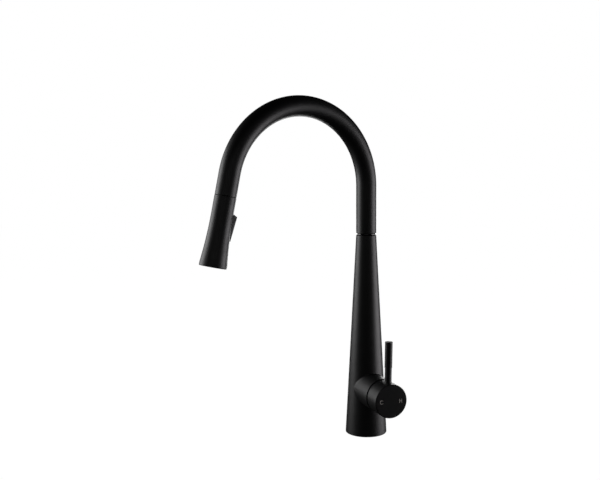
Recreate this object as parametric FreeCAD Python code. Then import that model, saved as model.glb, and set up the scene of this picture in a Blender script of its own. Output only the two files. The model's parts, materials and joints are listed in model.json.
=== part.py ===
import FreeCAD, Part
import math
import os

from FreeCAD import Placement, Rotation, Vector

# Pull-down kitchen faucet, in millimetres. The origin is the centre of the base on the deck, +Z is up,
# and the handle's axis runs out of the column along +X. The spout is built pointing along -Y and then
# turned about the column's axis to the angle at which it rests.

# --- driving dimensions: column ---
BASE_RADIUS = 26.0
COLUMN_TOP_RADIUS = 12.5
COLUMN_TOP_Z = 251.8
COLUMN_WALL = 2.6
BASE_EDGE = 0.6
TOP_EDGE = 0.4
RECESS_RADIUS = 20.5
RECESS_DEPTH = 14.0
LIP_RADIUS = 20.0
LIP_TOP_Z = 17.0
SWIVEL_BORE_RADIUS = 10.3
SWIVEL_BORE_Z = 196.0

# --- driving dimensions: base ---
GASKET_INNER_RADIUS = 21.2
GASKET_OUTER_RADIUS = 23.6
GASKET_HEIGHT = 2.0
CORE_BOTTOM_Z = 3.0
HOSE_PASSAGE_RADIUS = 6.6
INLET_THREAD_RADIUS = 4.5
INLET_THREAD_DEPTH = 7.0
STUD_HOLE_RADIUS = 3.4
STUD_SPACING = 30.4
STUD_HOLE_DEPTH = 10.0
COLD_PORT = (8.5, -9.5)
HOT_PORT = (8.5, 9.5)
MIXED_PORT = (-9.8, -8.2)

# --- driving dimensions: water tubes inside the column ---
TUBE_RADIUS = 4.0
TUBE_BORE_RADIUS = 2.8
TUBE_COLLAR_RADIUS = 4.3
TUBE_BOTTOM_Z = CORE_BOTTOM_Z + INLET_THREAD_DEPTH
TUBE_TOP_Z = 48.0
TUBE_SEAL_INSET = 1.5
TUBE_SEAL_RADIUS = 0.45

# --- driving dimensions: valve, measured outward along the handle's axis ---
HANDLE_Z = 58.6
HANDLE_REST_TURN = -1.1
BOSS_RADIUS = 20.9
BOSS_RIM_X = 47.7
BOSS_EDGE = 0.6
BOSS_BORE_RADIUS = 18.95
VALVE_BACK_X = -16.0
VALVE_NECK_RADIUS = 18.2
VALVE_RADIUS = 18.9
VALVE_FRONT_X = 43.5
CARTRIDGE_RADIUS = 17.5
CARTRIDGE_BACK_X = 12.5
CARTRIDGE_FRONT_X = 37.0
CARTRIDGE_INNER_RADIUS = 15.4
CARTRIDGE_MOUTH_RADIUS = 10.6
PORT_RADIUS = 2.6
PORT_CIRCLE_RADIUS = 8.0
FIXED_DISC_X = (14.0, 16.2)
MOVING_DISC_X = (16.22, 18.2)
CARRIER_X = (18.2, 22.0)
MOVING_DISC_RADIUS = 10.5
TURRET_X = (22.3, 33.6)
TURRET_NECK_X = 36.8
PIVOT_X = 28.0
PIN_RADIUS = 1.5
BALL_X = 20.2
BALL_RADIUS = 1.9
BALL_ARM_RADIUS = 1.1
CLAMP_NUT_X = (37.0, 42.0)
CLAMP_NUT_BORE_RADIUS = 12.5
DOME_RADIUS = 27.9
DOME_WALL = 1.6
DOME_MOUTH_RADIUS = 13.5

# --- driving dimensions: handle ---
KNOB_RADIUS = 20.7
KNOB_X = (50.5, 74.2)
KNOB_REAR_EDGE = 0.5
KNOB_FRONT_EDGE = 1.2
KNOB_CAVITY_RADIUS = 18.2
KNOB_FACE_WALL = 3.0
ADAPTER_BACK_X = 57.2
STEM_SQUARE = 7.0
STEM_RADIUS = 3.6
STEM_EYE_RADIUS = 3.3
STEM_TIP_X = 68.0
GRUB_X = 62.0
GRUB_RADIUS = 2.0
PLUG_RADIUS = 2.6
LEVER_X = 64.0
LEVER_FOOT = 10.0
LEVER_STEM_RADIUS = 4.2
LEVER_SPIGOT_RADIUS = 3.2
GRIP_RADIUS = 4.6
GRIP_BOTTOM = 39.1
GRIP_TOP = 70.8
GRIP_EDGE = 0.6
SPIGOT_TOP = 62.0
MARK_OFFSET = 12.4
MARK_HEIGHT = 5.0
MARK_WIDTH = 3.6
MARK_STROKE = 0.7
MARK_THICKNESS = 0.1

# --- driving dimensions: spout ---
SPOUT_REST_TURN = 13.0
SPOUT_RADIUS = 12.5
SPOUT_BORE_RADIUS = 11.3
SPOUT_BOTTOM_Z = 254.3
ARCH_START_Z = 312.8
ARCH_RADIUS = 97.0
OUTLET_TILT = 12.6
OUTLET_LENGTH = 26.5
GLIDE_RING_RADIUS = 11.3
SPIGOT_RADIUS = 8.8
SPIGOT_BORE_RADIUS = 6.3
SPIGOT_BOTTOM_Z = 197.5
INSERT_TOP_Z = 272.0
BUSHING_BORE_RADIUS = 8.86
UPPER_BUSHING_Z = (240.0, 251.8)
LOWER_BUSHING_Z = (203.0, 213.0)
FRICTION_RING_Z = (220.0, 234.0)
FRICTION_RING_SECTION = 1.0
CIRCLIP_Z = (201.2, 202.4)
CIRCLIP_RADIUS = 9.9
CIRCLIP_GROOVE_RADIUS = 8.2

# --- driving dimensions: pull hose, docking and head, measured down the outlet's axis from the tube's end ---
HOSE_RADIUS = 5.25
HOSE_BORE_RADIUS = 3.7
HOSE_BOTTOM_Z = 12.0
HOSE_END_S = -12.0
HOSE_FITTING_Z = (2.0, 20.0)
DOCK_SLEEVE_S = (-24.0, -0.4)
DOCK_BORE_RADIUS = 8.95
DOCK_MAGNET_S = (-7.0, -1.2)
DOCK_MAGNET_RADII = (9.6, 10.8)
NECK_RADIUS = 8.8
NECK_TOP_S = -18.0
NECK_BORE_RADIUS = 7.0
FERRULE_S = (-26.0, -11.2)
FERRULE_WALL = 1.3
NIPPLE_FLANGE_S = (-11.0, -9.0)
NIPPLE_HEAD_S = (0.6, 3.0)
HOSE_NUT_S = (-8.7, 0.3)
HEAD_LENGTH = 81.2
HEAD_TOP_S = 0.25
HEAD_TOP_RADIUS = 12.6
HEAD_FACE_RADIUS = 15.9
FLARE_S = (20.0, 77.0)
HEAD_EDGE = 0.5
HEAD_BORE_RADIUS = 11.0
HEAD_MAGNET_RADII = (9.2, 10.7)
HEAD_MAGNET_S = (2.0, 6.0)
FLANGE_S = (2.0, 8.0)
WATERWAY_S = (8.0, 62.0)
WATERWAY_BORE_RADIUS = 4.0
DIVIDER_END_S = 73.0
FACE_BORE_RADIUS = 14.3
PLATE_S = (74.0, 80.2)
NOZZLE_END_S = 81.0
NOZZLE_RADIUS = 0.9
NOZZLE_RINGS = ((9.4, 12), (12.2, 18))
AERATOR_RADIUS = 7.0
AERATOR_S = (75.0, 80.6)
AERATOR_HOLE_RADIUS = 1.5
AERATOR_HOLE_CIRCLE_RADIUS = 4.2
AERATOR_OUTER_HOLES = 6
FACE_SEAL_WALL = 1.2

# --- driving dimensions: toggle, in the head's own plane ---
TOGGLE_TOP_S = 20.5
TOGGLE_SHOULDER = (11.6, 18.4)
TOGGLE_HEEL_S = 19.6
TOGGLE_END_S = 49.8
TOGGLE_RISE = 4.4
TOGGLE_HALF_WIDTH = 5.0
TOGGLE_SLOT_S = (17.8, 50.6)
TOGGLE_SLOT_HALF_WIDTH = 5.3
TOGGLE_PIVOT_S = 37.0
TOGGLE_PIVOT_U = 7.6
TOGGLE_PIN_RADIUS = 1.0
TOGGLE_PIN_HALF_LENGTH = 6.7
TOGGLE_HUB_RADIUS = 2.2
TOGGLE_FLOOR_U = 7.2
SPOOL_U = 2.2
SPOOL_RADIUS = 2.6
SPOOL_S = (27.0, 47.0)
ARM_TIP_RADIUS = 1.1
ARM_HALF_THICKNESS = 0.6

PRESS_GAP = 0.05
RUNNING_GAP = 0.06
LOOSE_GAP = 0.12

Z_AXIS = Vector(0, 0, 1)
ORIGIN = Vector(0, 0, 0)

# The handle frame's own +Z runs out along the handle's axis and its own -X points up the lever.
VALVE_FRAME = Placement(Vector(0, 0, HANDLE_Z), Rotation(Vector(0, 1, 0), 90))
HANDLE_TURN = Placement(Vector(0, 0, HANDLE_Z), Rotation(Vector(1, 0, 0), HANDLE_REST_TURN))
HANDLE_FRAME = HANDLE_TURN.multiply(Placement(ORIGIN, Rotation(Vector(0, 1, 0), 90)))
SPOUT_FRAME = Placement(ORIGIN, Rotation(Z_AXIS, SPOUT_REST_TURN))


def outlet_frame():
    """Frame at the tube's end: +Z down the outlet's axis, +X towards the column."""
    sweep = math.radians(180 - OUTLET_TILT)
    tilt = math.radians(OUTLET_TILT)
    down = Vector(0, -math.sin(tilt), -math.cos(tilt))
    inward = Vector(0, math.cos(tilt), -math.sin(tilt))
    arch_end = Vector(0, ARCH_RADIUS * (math.cos(sweep) - 1), ARCH_START_Z + ARCH_RADIUS * math.sin(sweep))
    rotation = Rotation(inward, Vector(1, 0, 0), down, "ZXY")
    return SPOUT_FRAME.multiply(Placement(arch_end + down * OUTLET_LENGTH, rotation))


OUTLET_FRAME = outlet_frame()


# --- helpers ---


def placed(shape, frame):
    """The shape moved from a local frame into the faucet's frame."""
    moved = shape.copy()
    moved.Placement = frame.multiply(moved.Placement)
    return moved


def turned(points):
    """Solid of revolution about Z of a closed outline of (radius, height) points."""
    outline = [Vector(radius, 0, height) for radius, height in points]
    face = Part.Face(Part.makePolygon(outline + outline[:1]))
    return face.revolve(ORIGIN, Z_AXIS, 360)


def rod(radius, low, high, centre=(0, 0)):
    """Cylinder along Z between two heights."""
    return Part.makeCylinder(radius, high - low, Vector(centre[0], centre[1], low))


def pipe(outer, inner, low, high, centre=(0, 0)):
    """Hollow cylinder along Z between two heights."""
    return rod(outer, low, high, centre).cut(rod(inner, low, high, centre))


def cross_rod(radius, half_length, u, s):
    """Cylinder along Y, centred on the plane Y = 0."""
    return Part.makeCylinder(radius, 2 * half_length, Vector(u, -half_length, s), Vector(0, 1, 0))


def block(x_range, y_range, z_range):
    """Box between two corners."""
    low = Vector(x_range[0], y_range[0], z_range[0])
    sizes = [high - start for start, high in (x_range, y_range, z_range)]
    return Part.makeBox(*sizes, low)


def ring(centre_radius, section_radius, height):
    """Round-section ring about Z."""
    return Part.makeTorus(centre_radius, section_radius, Vector(0, 0, height), Z_AXIS)


def fused(shapes):
    """One solid made of several overlapping ones."""
    return shapes[0].fuse(shapes[1:]).removeSplitter()


def circle_centres(radius, count):
    """Evenly spaced places round a circle about the origin."""
    angles = [2 * math.pi * index / count for index in range(count)]
    return [(radius * math.cos(angle), radius * math.sin(angle)) for angle in angles]


def column_radius(height):
    """Outer radius of the column's cone."""
    return BASE_RADIUS - (BASE_RADIUS - COLUMN_TOP_RADIUS) * height / COLUMN_TOP_Z


# --- column ---


def column_cone():
    """The outside of the column, as a solid."""
    return turned([
        (0, 0), (BASE_RADIUS - BASE_EDGE, 0), (column_radius(BASE_EDGE), BASE_EDGE),
        (column_radius(COLUMN_TOP_Z - TOP_EDGE), COLUMN_TOP_Z - TOP_EDGE),
        (COLUMN_TOP_RADIUS - TOP_EDGE, COLUMN_TOP_Z), (0, COLUMN_TOP_Z),
    ])


def column_hollow():
    """The inside of the column: base recess, lip, cone and swivel bore."""
    cone_top_z = SWIVEL_BORE_Z - COLUMN_WALL
    return turned([
        (0, 0), (RECESS_RADIUS, 0), (RECESS_RADIUS, RECESS_DEPTH), (LIP_RADIUS, RECESS_DEPTH),
        (LIP_RADIUS, LIP_TOP_Z), (column_radius(LIP_TOP_Z) - COLUMN_WALL, LIP_TOP_Z),
        (column_radius(cone_top_z) - COLUMN_WALL, cone_top_z), (SWIVEL_BORE_RADIUS, SWIVEL_BORE_Z),
        (SWIVEL_BORE_RADIUS, COLUMN_TOP_Z), (0, COLUMN_TOP_Z),
    ])


def column_shell():
    boss = turned([
        (0, 0), (BOSS_RADIUS, 0), (BOSS_RADIUS, BOSS_RIM_X - BOSS_EDGE),
        (BOSS_RADIUS - BOSS_EDGE, BOSS_RIM_X), (0, BOSS_RIM_X),
    ])
    bore = rod(BOSS_BORE_RADIUS, 0, BOSS_RIM_X)
    outside = fused([column_cone(), placed(boss, VALVE_FRAME)])
    gasket_groove = pipe(GASKET_OUTER_RADIUS, GASKET_INNER_RADIUS, 0, GASKET_HEIGHT)
    return outside.cut([column_hollow(), placed(bore, VALVE_FRAME), gasket_groove])


def base_gasket():
    return pipe(GASKET_OUTER_RADIUS, GASKET_INNER_RADIUS, 0, GASKET_HEIGHT)


def base_core():
    """Brass block with the tapped holes that the supplies and the deck studs screw into."""
    core = rod(RECESS_RADIUS, CORE_BOTTOM_Z, RECESS_DEPTH)
    cuts = [rod(HOSE_PASSAGE_RADIUS, CORE_BOTTOM_Z, RECESS_DEPTH)]
    for port in (COLD_PORT, HOT_PORT, MIXED_PORT):
        cuts.append(rod(INLET_THREAD_RADIUS, CORE_BOTTOM_Z, TUBE_BOTTOM_Z, port))
        cuts.append(rod(TUBE_COLLAR_RADIUS, TUBE_BOTTOM_Z, RECESS_DEPTH, port))
    for side in (-1, 1):
        centre = (0, side * STUD_SPACING / 2)
        cuts.append(rod(STUD_HOLE_RADIUS, CORE_BOTTOM_Z, CORE_BOTTOM_Z + STUD_HOLE_DEPTH, centre))
    return core.cut(cuts)


def tube_seal_places():
    """Height and outer radius of the seal at each end of a water tube."""
    return (
        (TUBE_BOTTOM_Z + TUBE_SEAL_INSET, TUBE_COLLAR_RADIUS),
        (TUBE_TOP_Z - TUBE_SEAL_INSET, TUBE_RADIUS),
    )


def water_tube(port):
    """Straight tube from its collar in the base core up into the valve body, grooved for its seals."""
    tube = rod(TUBE_RADIUS, TUBE_BOTTOM_Z, TUBE_TOP_Z, port)
    collar = rod(TUBE_COLLAR_RADIUS, TUBE_BOTTOM_Z, RECESS_DEPTH, port)
    cuts = [rod(TUBE_BORE_RADIUS, TUBE_BOTTOM_Z, TUBE_TOP_Z, port)]
    for height, radius in tube_seal_places():
        low, high = height - TUBE_SEAL_RADIUS, height + TUBE_SEAL_RADIUS
        cuts.append(pipe(radius, radius - 2 * TUBE_SEAL_RADIUS, low, high, port))
    return fused([tube, collar]).cut(cuts)


def tube_seals():
    seals = []
    for port in (COLD_PORT, HOT_PORT, MIXED_PORT):
        for height, radius in tube_seal_places():
            seal = ring(radius - TUBE_SEAL_RADIUS, TUBE_SEAL_RADIUS, height)
            seal.translate(Vector(port[0], port[1], 0))
            seals.append(seal)
    return Part.makeCompound(seals)


# --- valve ---


def cartridge_ports():
    """Centres of the cold, hot and mixed ports in the valve frame, where -X is up and +Y is the hot side."""
    side = PORT_CIRCLE_RADIUS * math.sin(math.radians(60))
    return ((PORT_CIRCLE_RADIUS / 2, -side), (PORT_CIRCLE_RADIUS / 2, side), (-PORT_CIRCLE_RADIUS, 0))


def valve_body():
    """Brass body pushed in through the boss: it holds the cartridge and lets the hose pass behind it."""
    barrel = placed(rod(VALVE_RADIUS, VALVE_BACK_X, VALVE_FRONT_X), VALVE_FRAME)
    low, high = HANDLE_Z - VALVE_RADIUS, HANDLE_Z + VALVE_RADIUS
    neck = rod(VALVE_NECK_RADIUS, low, high)
    front = block((CARTRIDGE_BACK_X - COLUMN_WALL, VALVE_FRONT_X), (-VALVE_RADIUS, VALVE_RADIUS), (low, high))
    body = barrel.common(neck.fuse(front))
    cuts = [placed(rod(CARTRIDGE_RADIUS, CARTRIDGE_BACK_X, VALVE_FRONT_X), VALVE_FRAME)]
    cuts.append(rod(SPIGOT_BORE_RADIUS, low, high))
    for port in (COLD_PORT, HOT_PORT, MIXED_PORT):
        cuts.append(rod(TUBE_RADIUS, low, TUBE_TOP_Z, port))
        cuts.append(rod(TUBE_BORE_RADIUS, low, HANDLE_Z, port))
    for port in cartridge_ports()[:2]:
        cuts.append(placed(rod(PORT_RADIUS, COLD_PORT[0] - PORT_RADIUS, CARTRIDGE_BACK_X, port), VALVE_FRAME))
    return body.cut(cuts)


def cartridge_housing():
    """Plastic cup that holds the discs and the turret, with the three ports in its floor."""
    outside = CARTRIDGE_RADIUS - PRESS_GAP
    cup = turned([
        (0, CARTRIDGE_BACK_X), (outside, CARTRIDGE_BACK_X), (outside, CARTRIDGE_FRONT_X),
        (CARTRIDGE_MOUTH_RADIUS, CARTRIDGE_FRONT_X), (CARTRIDGE_MOUTH_RADIUS, TURRET_X[1] + LOOSE_GAP),
        (CARTRIDGE_INNER_RADIUS, TURRET_X[1] + LOOSE_GAP), (CARTRIDGE_INNER_RADIUS, FIXED_DISC_X[0]),
        (0, FIXED_DISC_X[0]),
    ])
    cuts = [rod(PORT_RADIUS + TUBE_SEAL_RADIUS, CARTRIDGE_BACK_X, FIXED_DISC_X[0], port)
            for port in cartridge_ports()]
    return placed(cup.cut(cuts), VALVE_FRAME)


def cartridge_seals():
    seals = []
    for port in cartridge_ports():
        seal = pipe(PORT_RADIUS + TUBE_SEAL_RADIUS, PORT_RADIUS, CARTRIDGE_BACK_X, FIXED_DISC_X[0], port)
        seals.append(placed(seal, VALVE_FRAME))
    return Part.makeCompound(seals)


def fixed_ceramic_disc():
    disc = rod(CARTRIDGE_INNER_RADIUS, *FIXED_DISC_X)
    cuts = [rod(PORT_RADIUS, FIXED_DISC_X[0], FIXED_DISC_X[1], port) for port in cartridge_ports()]
    return placed(disc.cut(cuts), VALVE_FRAME)


def moving_ceramic_disc():
    """Disc whose blind pocket joins the ports that it uncovers."""
    disc = rod(MOVING_DISC_RADIUS, *MOVING_DISC_X)
    pocket_depth = (MOVING_DISC_X[1] - MOVING_DISC_X[0]) / 2
    pocket = rod(MOVING_DISC_RADIUS - STEM_RADIUS, MOVING_DISC_X[0], MOVING_DISC_X[0] + pocket_depth)
    return placed(disc.cut(pocket), HANDLE_FRAME)


def disc_carrier():
    """Plastic plate clipped to the moving disc, with the slot that the stem's ball pushes."""
    half = BALL_RADIUS + LOOSE_GAP
    slot = block((-half, half), (-half, half), CARRIER_X)
    return placed(rod(MOVING_DISC_RADIUS, *CARRIER_X).cut(slot), HANDLE_FRAME)


def cartridge_turret():
    """Turning part of the cartridge: it carries the stem's pin and is slotted for the stem's tilt."""
    barrel = rod(CARTRIDGE_INNER_RADIUS - RUNNING_GAP, *TURRET_X)
    neck = rod(CARTRIDGE_MOUTH_RADIUS - RUNNING_GAP, TURRET_X[0], TURRET_NECK_X)
    eye_half = STEM_RADIUS + LOOSE_GAP * 2
    slot_half = eye_half * 2
    slot = block((-slot_half, slot_half), (-eye_half, eye_half), (TURRET_X[0], TURRET_NECK_X))
    pin_hole = cross_rod(PIN_RADIUS, MOVING_DISC_RADIUS, 0, PIVOT_X)
    return placed(fused([barrel, neck]).cut([slot, pin_hole]), HANDLE_FRAME)


def stem_pin():
    return placed(cross_rod(PIN_RADIUS, MOVING_DISC_RADIUS, 0, PIVOT_X), HANDLE_FRAME)


def cartridge_stem():
    """Lever on the pin: a knuckle behind it pushes the discs and a square end in front takes the handle."""
    outline = [(0, BALL_X - BALL_RADIUS)]
    for angle in (22.5, 67.5, 112.5):
        turn = math.radians(angle)
        outline.append((BALL_RADIUS * math.sin(turn), BALL_X - BALL_RADIUS * math.cos(turn)))
    outline += [
        (BALL_ARM_RADIUS, BALL_X + BALL_RADIUS), (BALL_ARM_RADIUS, PIVOT_X), (STEM_RADIUS, PIVOT_X),
        (STEM_RADIUS, ADAPTER_BACK_X), (0, ADAPTER_BACK_X),
    ]
    eye = cross_rod(STEM_EYE_RADIUS, STEM_EYE_RADIUS, 0, PIVOT_X)
    half = STEM_SQUARE / 2
    square = block((-half, half), (-half, half), (ADAPTER_BACK_X - STEM_RADIUS, STEM_TIP_X))
    stem = fused([turned(outline), eye, square])
    return placed(stem.cut(cross_rod(PIN_RADIUS + RUNNING_GAP, STEM_RADIUS, 0, PIVOT_X)), HANDLE_FRAME)


def cartridge_nut():
    """Brass clamp ring with four spanner notches."""
    nut = pipe(CARTRIDGE_RADIUS - PRESS_GAP, CLAMP_NUT_BORE_RADIUS, *CLAMP_NUT_X)
    low, high = CLAMP_NUT_X[1] - PORT_RADIUS, CLAMP_NUT_X[1]
    for angle in range(0, 180, 90):
        notch = block((-CARTRIDGE_RADIUS, CARTRIDGE_RADIUS), (-PORT_RADIUS / 2, PORT_RADIUS / 2), (low, high))
        notch.rotate(ORIGIN, Z_AXIS, angle)
        nut = nut.cut(notch)
    return placed(nut, VALVE_FRAME)


def dome_ring():
    """Trim ring with a spherical front about the stem's pivot, so that the knob clears it at any tilt."""
    skirt_radius = VALVE_RADIUS - DOME_WALL
    ball = Part.makeSphere(DOME_RADIUS, Vector(0, 0, PIVOT_X))
    hollow = Part.makeSphere(DOME_RADIUS - DOME_WALL, Vector(0, 0, PIVOT_X))
    dome = rod(VALVE_RADIUS, VALVE_FRONT_X, PIVOT_X + DOME_RADIUS).common(ball)
    skirt_hollow = rod(skirt_radius, VALVE_FRONT_X, BOSS_RIM_X - DOME_WALL)
    mouth = rod(DOME_MOUTH_RADIUS, VALVE_FRONT_X, PIVOT_X + DOME_RADIUS)
    inside = hollow.common(rod(skirt_radius, VALVE_FRONT_X, PIVOT_X + DOME_RADIUS))
    return placed(dome.cut([inside, skirt_hollow, mouth]), VALVE_FRAME)


# --- handle ---


def side_hole(radius, height, inner, outer, upward):
    """Radial cylinder in the handle frame, towards the lever if upward, and away from it if not."""
    sign = -1 if upward else 1
    return Part.makeCylinder(radius, outer - inner, Vector(sign * inner, 0, height), Vector(sign, 0, 0))


def handle_knob():
    knob = turned([
        (0, KNOB_X[0]), (KNOB_RADIUS - KNOB_REAR_EDGE, KNOB_X[0]), (KNOB_RADIUS, KNOB_X[0] + KNOB_REAR_EDGE),
        (KNOB_RADIUS, KNOB_X[1] - KNOB_FRONT_EDGE), (KNOB_RADIUS - KNOB_FRONT_EDGE, KNOB_X[1]),
        (0, KNOB_X[1]),
    ])
    cavity = rod(KNOB_CAVITY_RADIUS, KNOB_X[0], KNOB_X[1] - KNOB_FACE_WALL)
    lever_hole = side_hole(LEVER_STEM_RADIUS, LEVER_X, LEVER_FOOT, KNOB_RADIUS, True)
    plug_hole = side_hole(PLUG_RADIUS, GRUB_X, LEVER_FOOT, KNOB_RADIUS, False)
    return placed(knob.cut([cavity, lever_hole, plug_hole]), HANDLE_FRAME)


def handle_adapter():
    """Plastic block inside the knob, with the stem's square socket."""
    adapter = rod(KNOB_CAVITY_RADIUS, ADAPTER_BACK_X, KNOB_X[1] - KNOB_FACE_WALL)
    half = STEM_SQUARE / 2 + PRESS_GAP
    socket = block((-half, half), (-half, half), (ADAPTER_BACK_X, STEM_TIP_X))
    lever_hole = side_hole(LEVER_STEM_RADIUS, LEVER_X, LEVER_FOOT, KNOB_RADIUS, True)
    grub_hole = side_hole(GRUB_RADIUS, GRUB_X, STEM_SQUARE / 2, KNOB_RADIUS, False)
    return placed(adapter.cut([socket, lever_hole, grub_hole]), HANDLE_FRAME)


def handle_grub_screw():
    """Socket-head grub screw that clamps the adapter on the stem."""
    screw = side_hole(GRUB_RADIUS, GRUB_X, STEM_SQUARE / 2 + PRESS_GAP, LEVER_FOOT, False)
    key_hole = side_hole(GRUB_RADIUS / 2, GRUB_X, LEVER_FOOT - GRUB_RADIUS, LEVER_FOOT, False)
    return placed(screw.cut(key_hole), HANDLE_FRAME)


def screw_plug():
    """Plug that covers the grub screw's hole, flush with the knob."""
    plug = side_hole(PLUG_RADIUS, GRUB_X, KNOB_CAVITY_RADIUS, KNOB_RADIUS + PLUG_RADIUS, False)
    return placed(plug.common(rod(KNOB_RADIUS, *KNOB_X)), HANDLE_FRAME)


def lever_stem():
    lever = side_hole(LEVER_STEM_RADIUS, LEVER_X, LEVER_FOOT, GRIP_BOTTOM, True)
    spigot = side_hole(LEVER_SPIGOT_RADIUS, LEVER_X, LEVER_FOOT, SPIGOT_TOP, True)
    return placed(fused([lever, spigot]), HANDLE_FRAME)


def lever_grip():
    """Sleeve on the upper half of the lever, closed at its top."""
    straight = side_hole(GRIP_RADIUS, LEVER_X, GRIP_BOTTOM, GRIP_TOP - GRIP_EDGE, True)
    tip = Part.makeCone(GRIP_RADIUS, GRIP_RADIUS - GRIP_EDGE, GRIP_EDGE,
                        Vector(GRIP_EDGE - GRIP_TOP, 0, LEVER_X), Vector(-1, 0, 0))
    bore = side_hole(LEVER_SPIGOT_RADIUS, LEVER_X, GRIP_BOTTOM, SPIGOT_TOP, True)
    return placed(fused([straight, tip]).cut(bore), HANDLE_FRAME)


def face_bar(across, up):
    """Thin bar on the knob's face between two positions across and two up."""
    heights = (KNOB_X[1], KNOB_X[1] + MARK_THICKNESS)
    return block((-up[1], -up[0]), across, heights)


def hot_mark():
    """Plain upright H on the hot side."""
    left, right = MARK_OFFSET - MARK_WIDTH / 2, MARK_OFFSET + MARK_WIDTH / 2
    half = MARK_HEIGHT / 2
    bars = [face_bar((left, left + MARK_STROKE), (-half, half))]
    bars.append(face_bar((right - MARK_STROKE, right), (-half, half)))
    bars.append(face_bar((left, right), (-MARK_STROKE / 2, MARK_STROKE / 2)))
    return placed(fused(bars), HANDLE_FRAME)


def cold_mark():
    """Plain round C on the cold side, open towards the middle of the face."""
    half = MARK_HEIGHT / 2
    centre = (0, -MARK_OFFSET)
    circle = pipe(half, half - MARK_STROKE, KNOB_X[1], KNOB_X[1] + MARK_THICKNESS, centre)
    opening = block((-half / 2, half / 2), (-MARK_OFFSET, -MARK_OFFSET + half), (KNOB_X[1], KNOB_X[1] + half))
    return placed(circle.cut(opening), HANDLE_FRAME)


# --- spout ---


def gooseneck(radius, bottom_z, end_length):
    """Solid bar of the gooseneck's shape: upright, arch and a straight end of the given length."""
    upright = rod(radius, bottom_z, ARCH_START_Z)
    section = Part.Face(Part.Wire(Part.makeCircle(radius, Vector(0, 0, ARCH_START_Z), Z_AXIS)))
    arch = section.revolve(Vector(0, -ARCH_RADIUS, ARCH_START_Z), Vector(1, 0, 0), 180 - OUTLET_TILT)
    end = rod(radius, -OUTLET_LENGTH, end_length - OUTLET_LENGTH)
    return fused([placed(upright, SPOUT_FRAME), placed(arch, SPOUT_FRAME), placed(end, OUTLET_FRAME)])


def spout_tube():
    outside = gooseneck(SPOUT_RADIUS, SPOUT_BOTTOM_Z, OUTLET_LENGTH)
    return outside.cut(gooseneck(SPOUT_BORE_RADIUS, SPOUT_BOTTOM_Z, OUTLET_LENGTH))


def pull_hose():
    """Hose held inside the column and the gooseneck, from the base to the ferrule."""
    end_length = OUTLET_LENGTH + HOSE_END_S
    outside = gooseneck(HOSE_RADIUS, HOSE_BOTTOM_Z, end_length)
    return outside.cut(gooseneck(HOSE_BORE_RADIUS, HOSE_BOTTOM_Z, end_length))


def hose_inlet_fitting():
    """Brass end of the hose in the base, with a spigot in the hose's bore."""
    low, high = HOSE_FITTING_Z
    collar = rod(HOSE_RADIUS, low, HOSE_BOTTOM_Z)
    spigot = rod(HOSE_BORE_RADIUS, low, high)
    return fused([collar, spigot]).cut(rod(HOSE_BORE_RADIUS / 2, low, high))


def bushing(z_range):
    return pipe(SWIVEL_BORE_RADIUS, BUSHING_BORE_RADIUS, *z_range)


def swivel_glide_ring():
    return pipe(GLIDE_RING_RADIUS, SPIGOT_RADIUS + 2 * LOOSE_GAP, COLUMN_TOP_Z, SPOUT_BOTTOM_Z - PRESS_GAP)


def spout_insert():
    """Brass insert brazed into the tube, whose spigot turns in the column's bushings."""
    spigot = rod(SPIGOT_RADIUS, SPIGOT_BOTTOM_Z, INSERT_TOP_Z)
    flange = rod(SPOUT_BORE_RADIUS, SPOUT_BOTTOM_Z, INSERT_TOP_Z)
    insert = fused([spigot, flange])
    cuts = [rod(SPIGOT_BORE_RADIUS, SPIGOT_BOTTOM_Z, INSERT_TOP_Z)]
    cuts.append(pipe(SPIGOT_RADIUS, CIRCLIP_GROOVE_RADIUS, *CIRCLIP_Z))
    groove_radius = SWIVEL_BORE_RADIUS - PRESS_GAP - 2 * FRICTION_RING_SECTION
    for height in FRICTION_RING_Z:
        low, high = height - FRICTION_RING_SECTION, height + FRICTION_RING_SECTION
        cuts.append(pipe(SPIGOT_RADIUS, groove_radius, low, high))
    return placed(insert.cut(cuts), SPOUT_FRAME)


def friction_rings():
    centre_radius = SWIVEL_BORE_RADIUS - PRESS_GAP - FRICTION_RING_SECTION
    rings = [ring(centre_radius, FRICTION_RING_SECTION, height) for height in FRICTION_RING_Z]
    return Part.makeCompound(rings)


def spout_circlip():
    clip = pipe(CIRCLIP_RADIUS, CIRCLIP_GROOVE_RADIUS, *CIRCLIP_Z)
    gap = block((-CIRCLIP_RADIUS / 2, CIRCLIP_RADIUS / 2), (0, CIRCLIP_RADIUS), CIRCLIP_Z)
    return placed(clip.cut(gap), SPOUT_FRAME)


def dock_sleeve():
    """Plastic sleeve in the tube's end that guides and holds the docked head."""
    sleeve = pipe(SPOUT_BORE_RADIUS, DOCK_BORE_RADIUS, *DOCK_SLEEVE_S)
    pocket = pipe(DOCK_MAGNET_RADII[1], DOCK_MAGNET_RADII[0], DOCK_MAGNET_S[0], DOCK_SLEEVE_S[1])
    return placed(sleeve.cut(pocket), OUTLET_FRAME)


def dock_magnet():
    return placed(pipe(DOCK_MAGNET_RADII[1], DOCK_MAGNET_RADII[0], *DOCK_MAGNET_S), OUTLET_FRAME)


# --- hose end ---


def hose_ferrule():
    """Crimped steel collar round the hose's end."""
    return placed(pipe(HOSE_RADIUS + FERRULE_WALL, HOSE_RADIUS + LOOSE_GAP, *FERRULE_S), OUTLET_FRAME)


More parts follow.
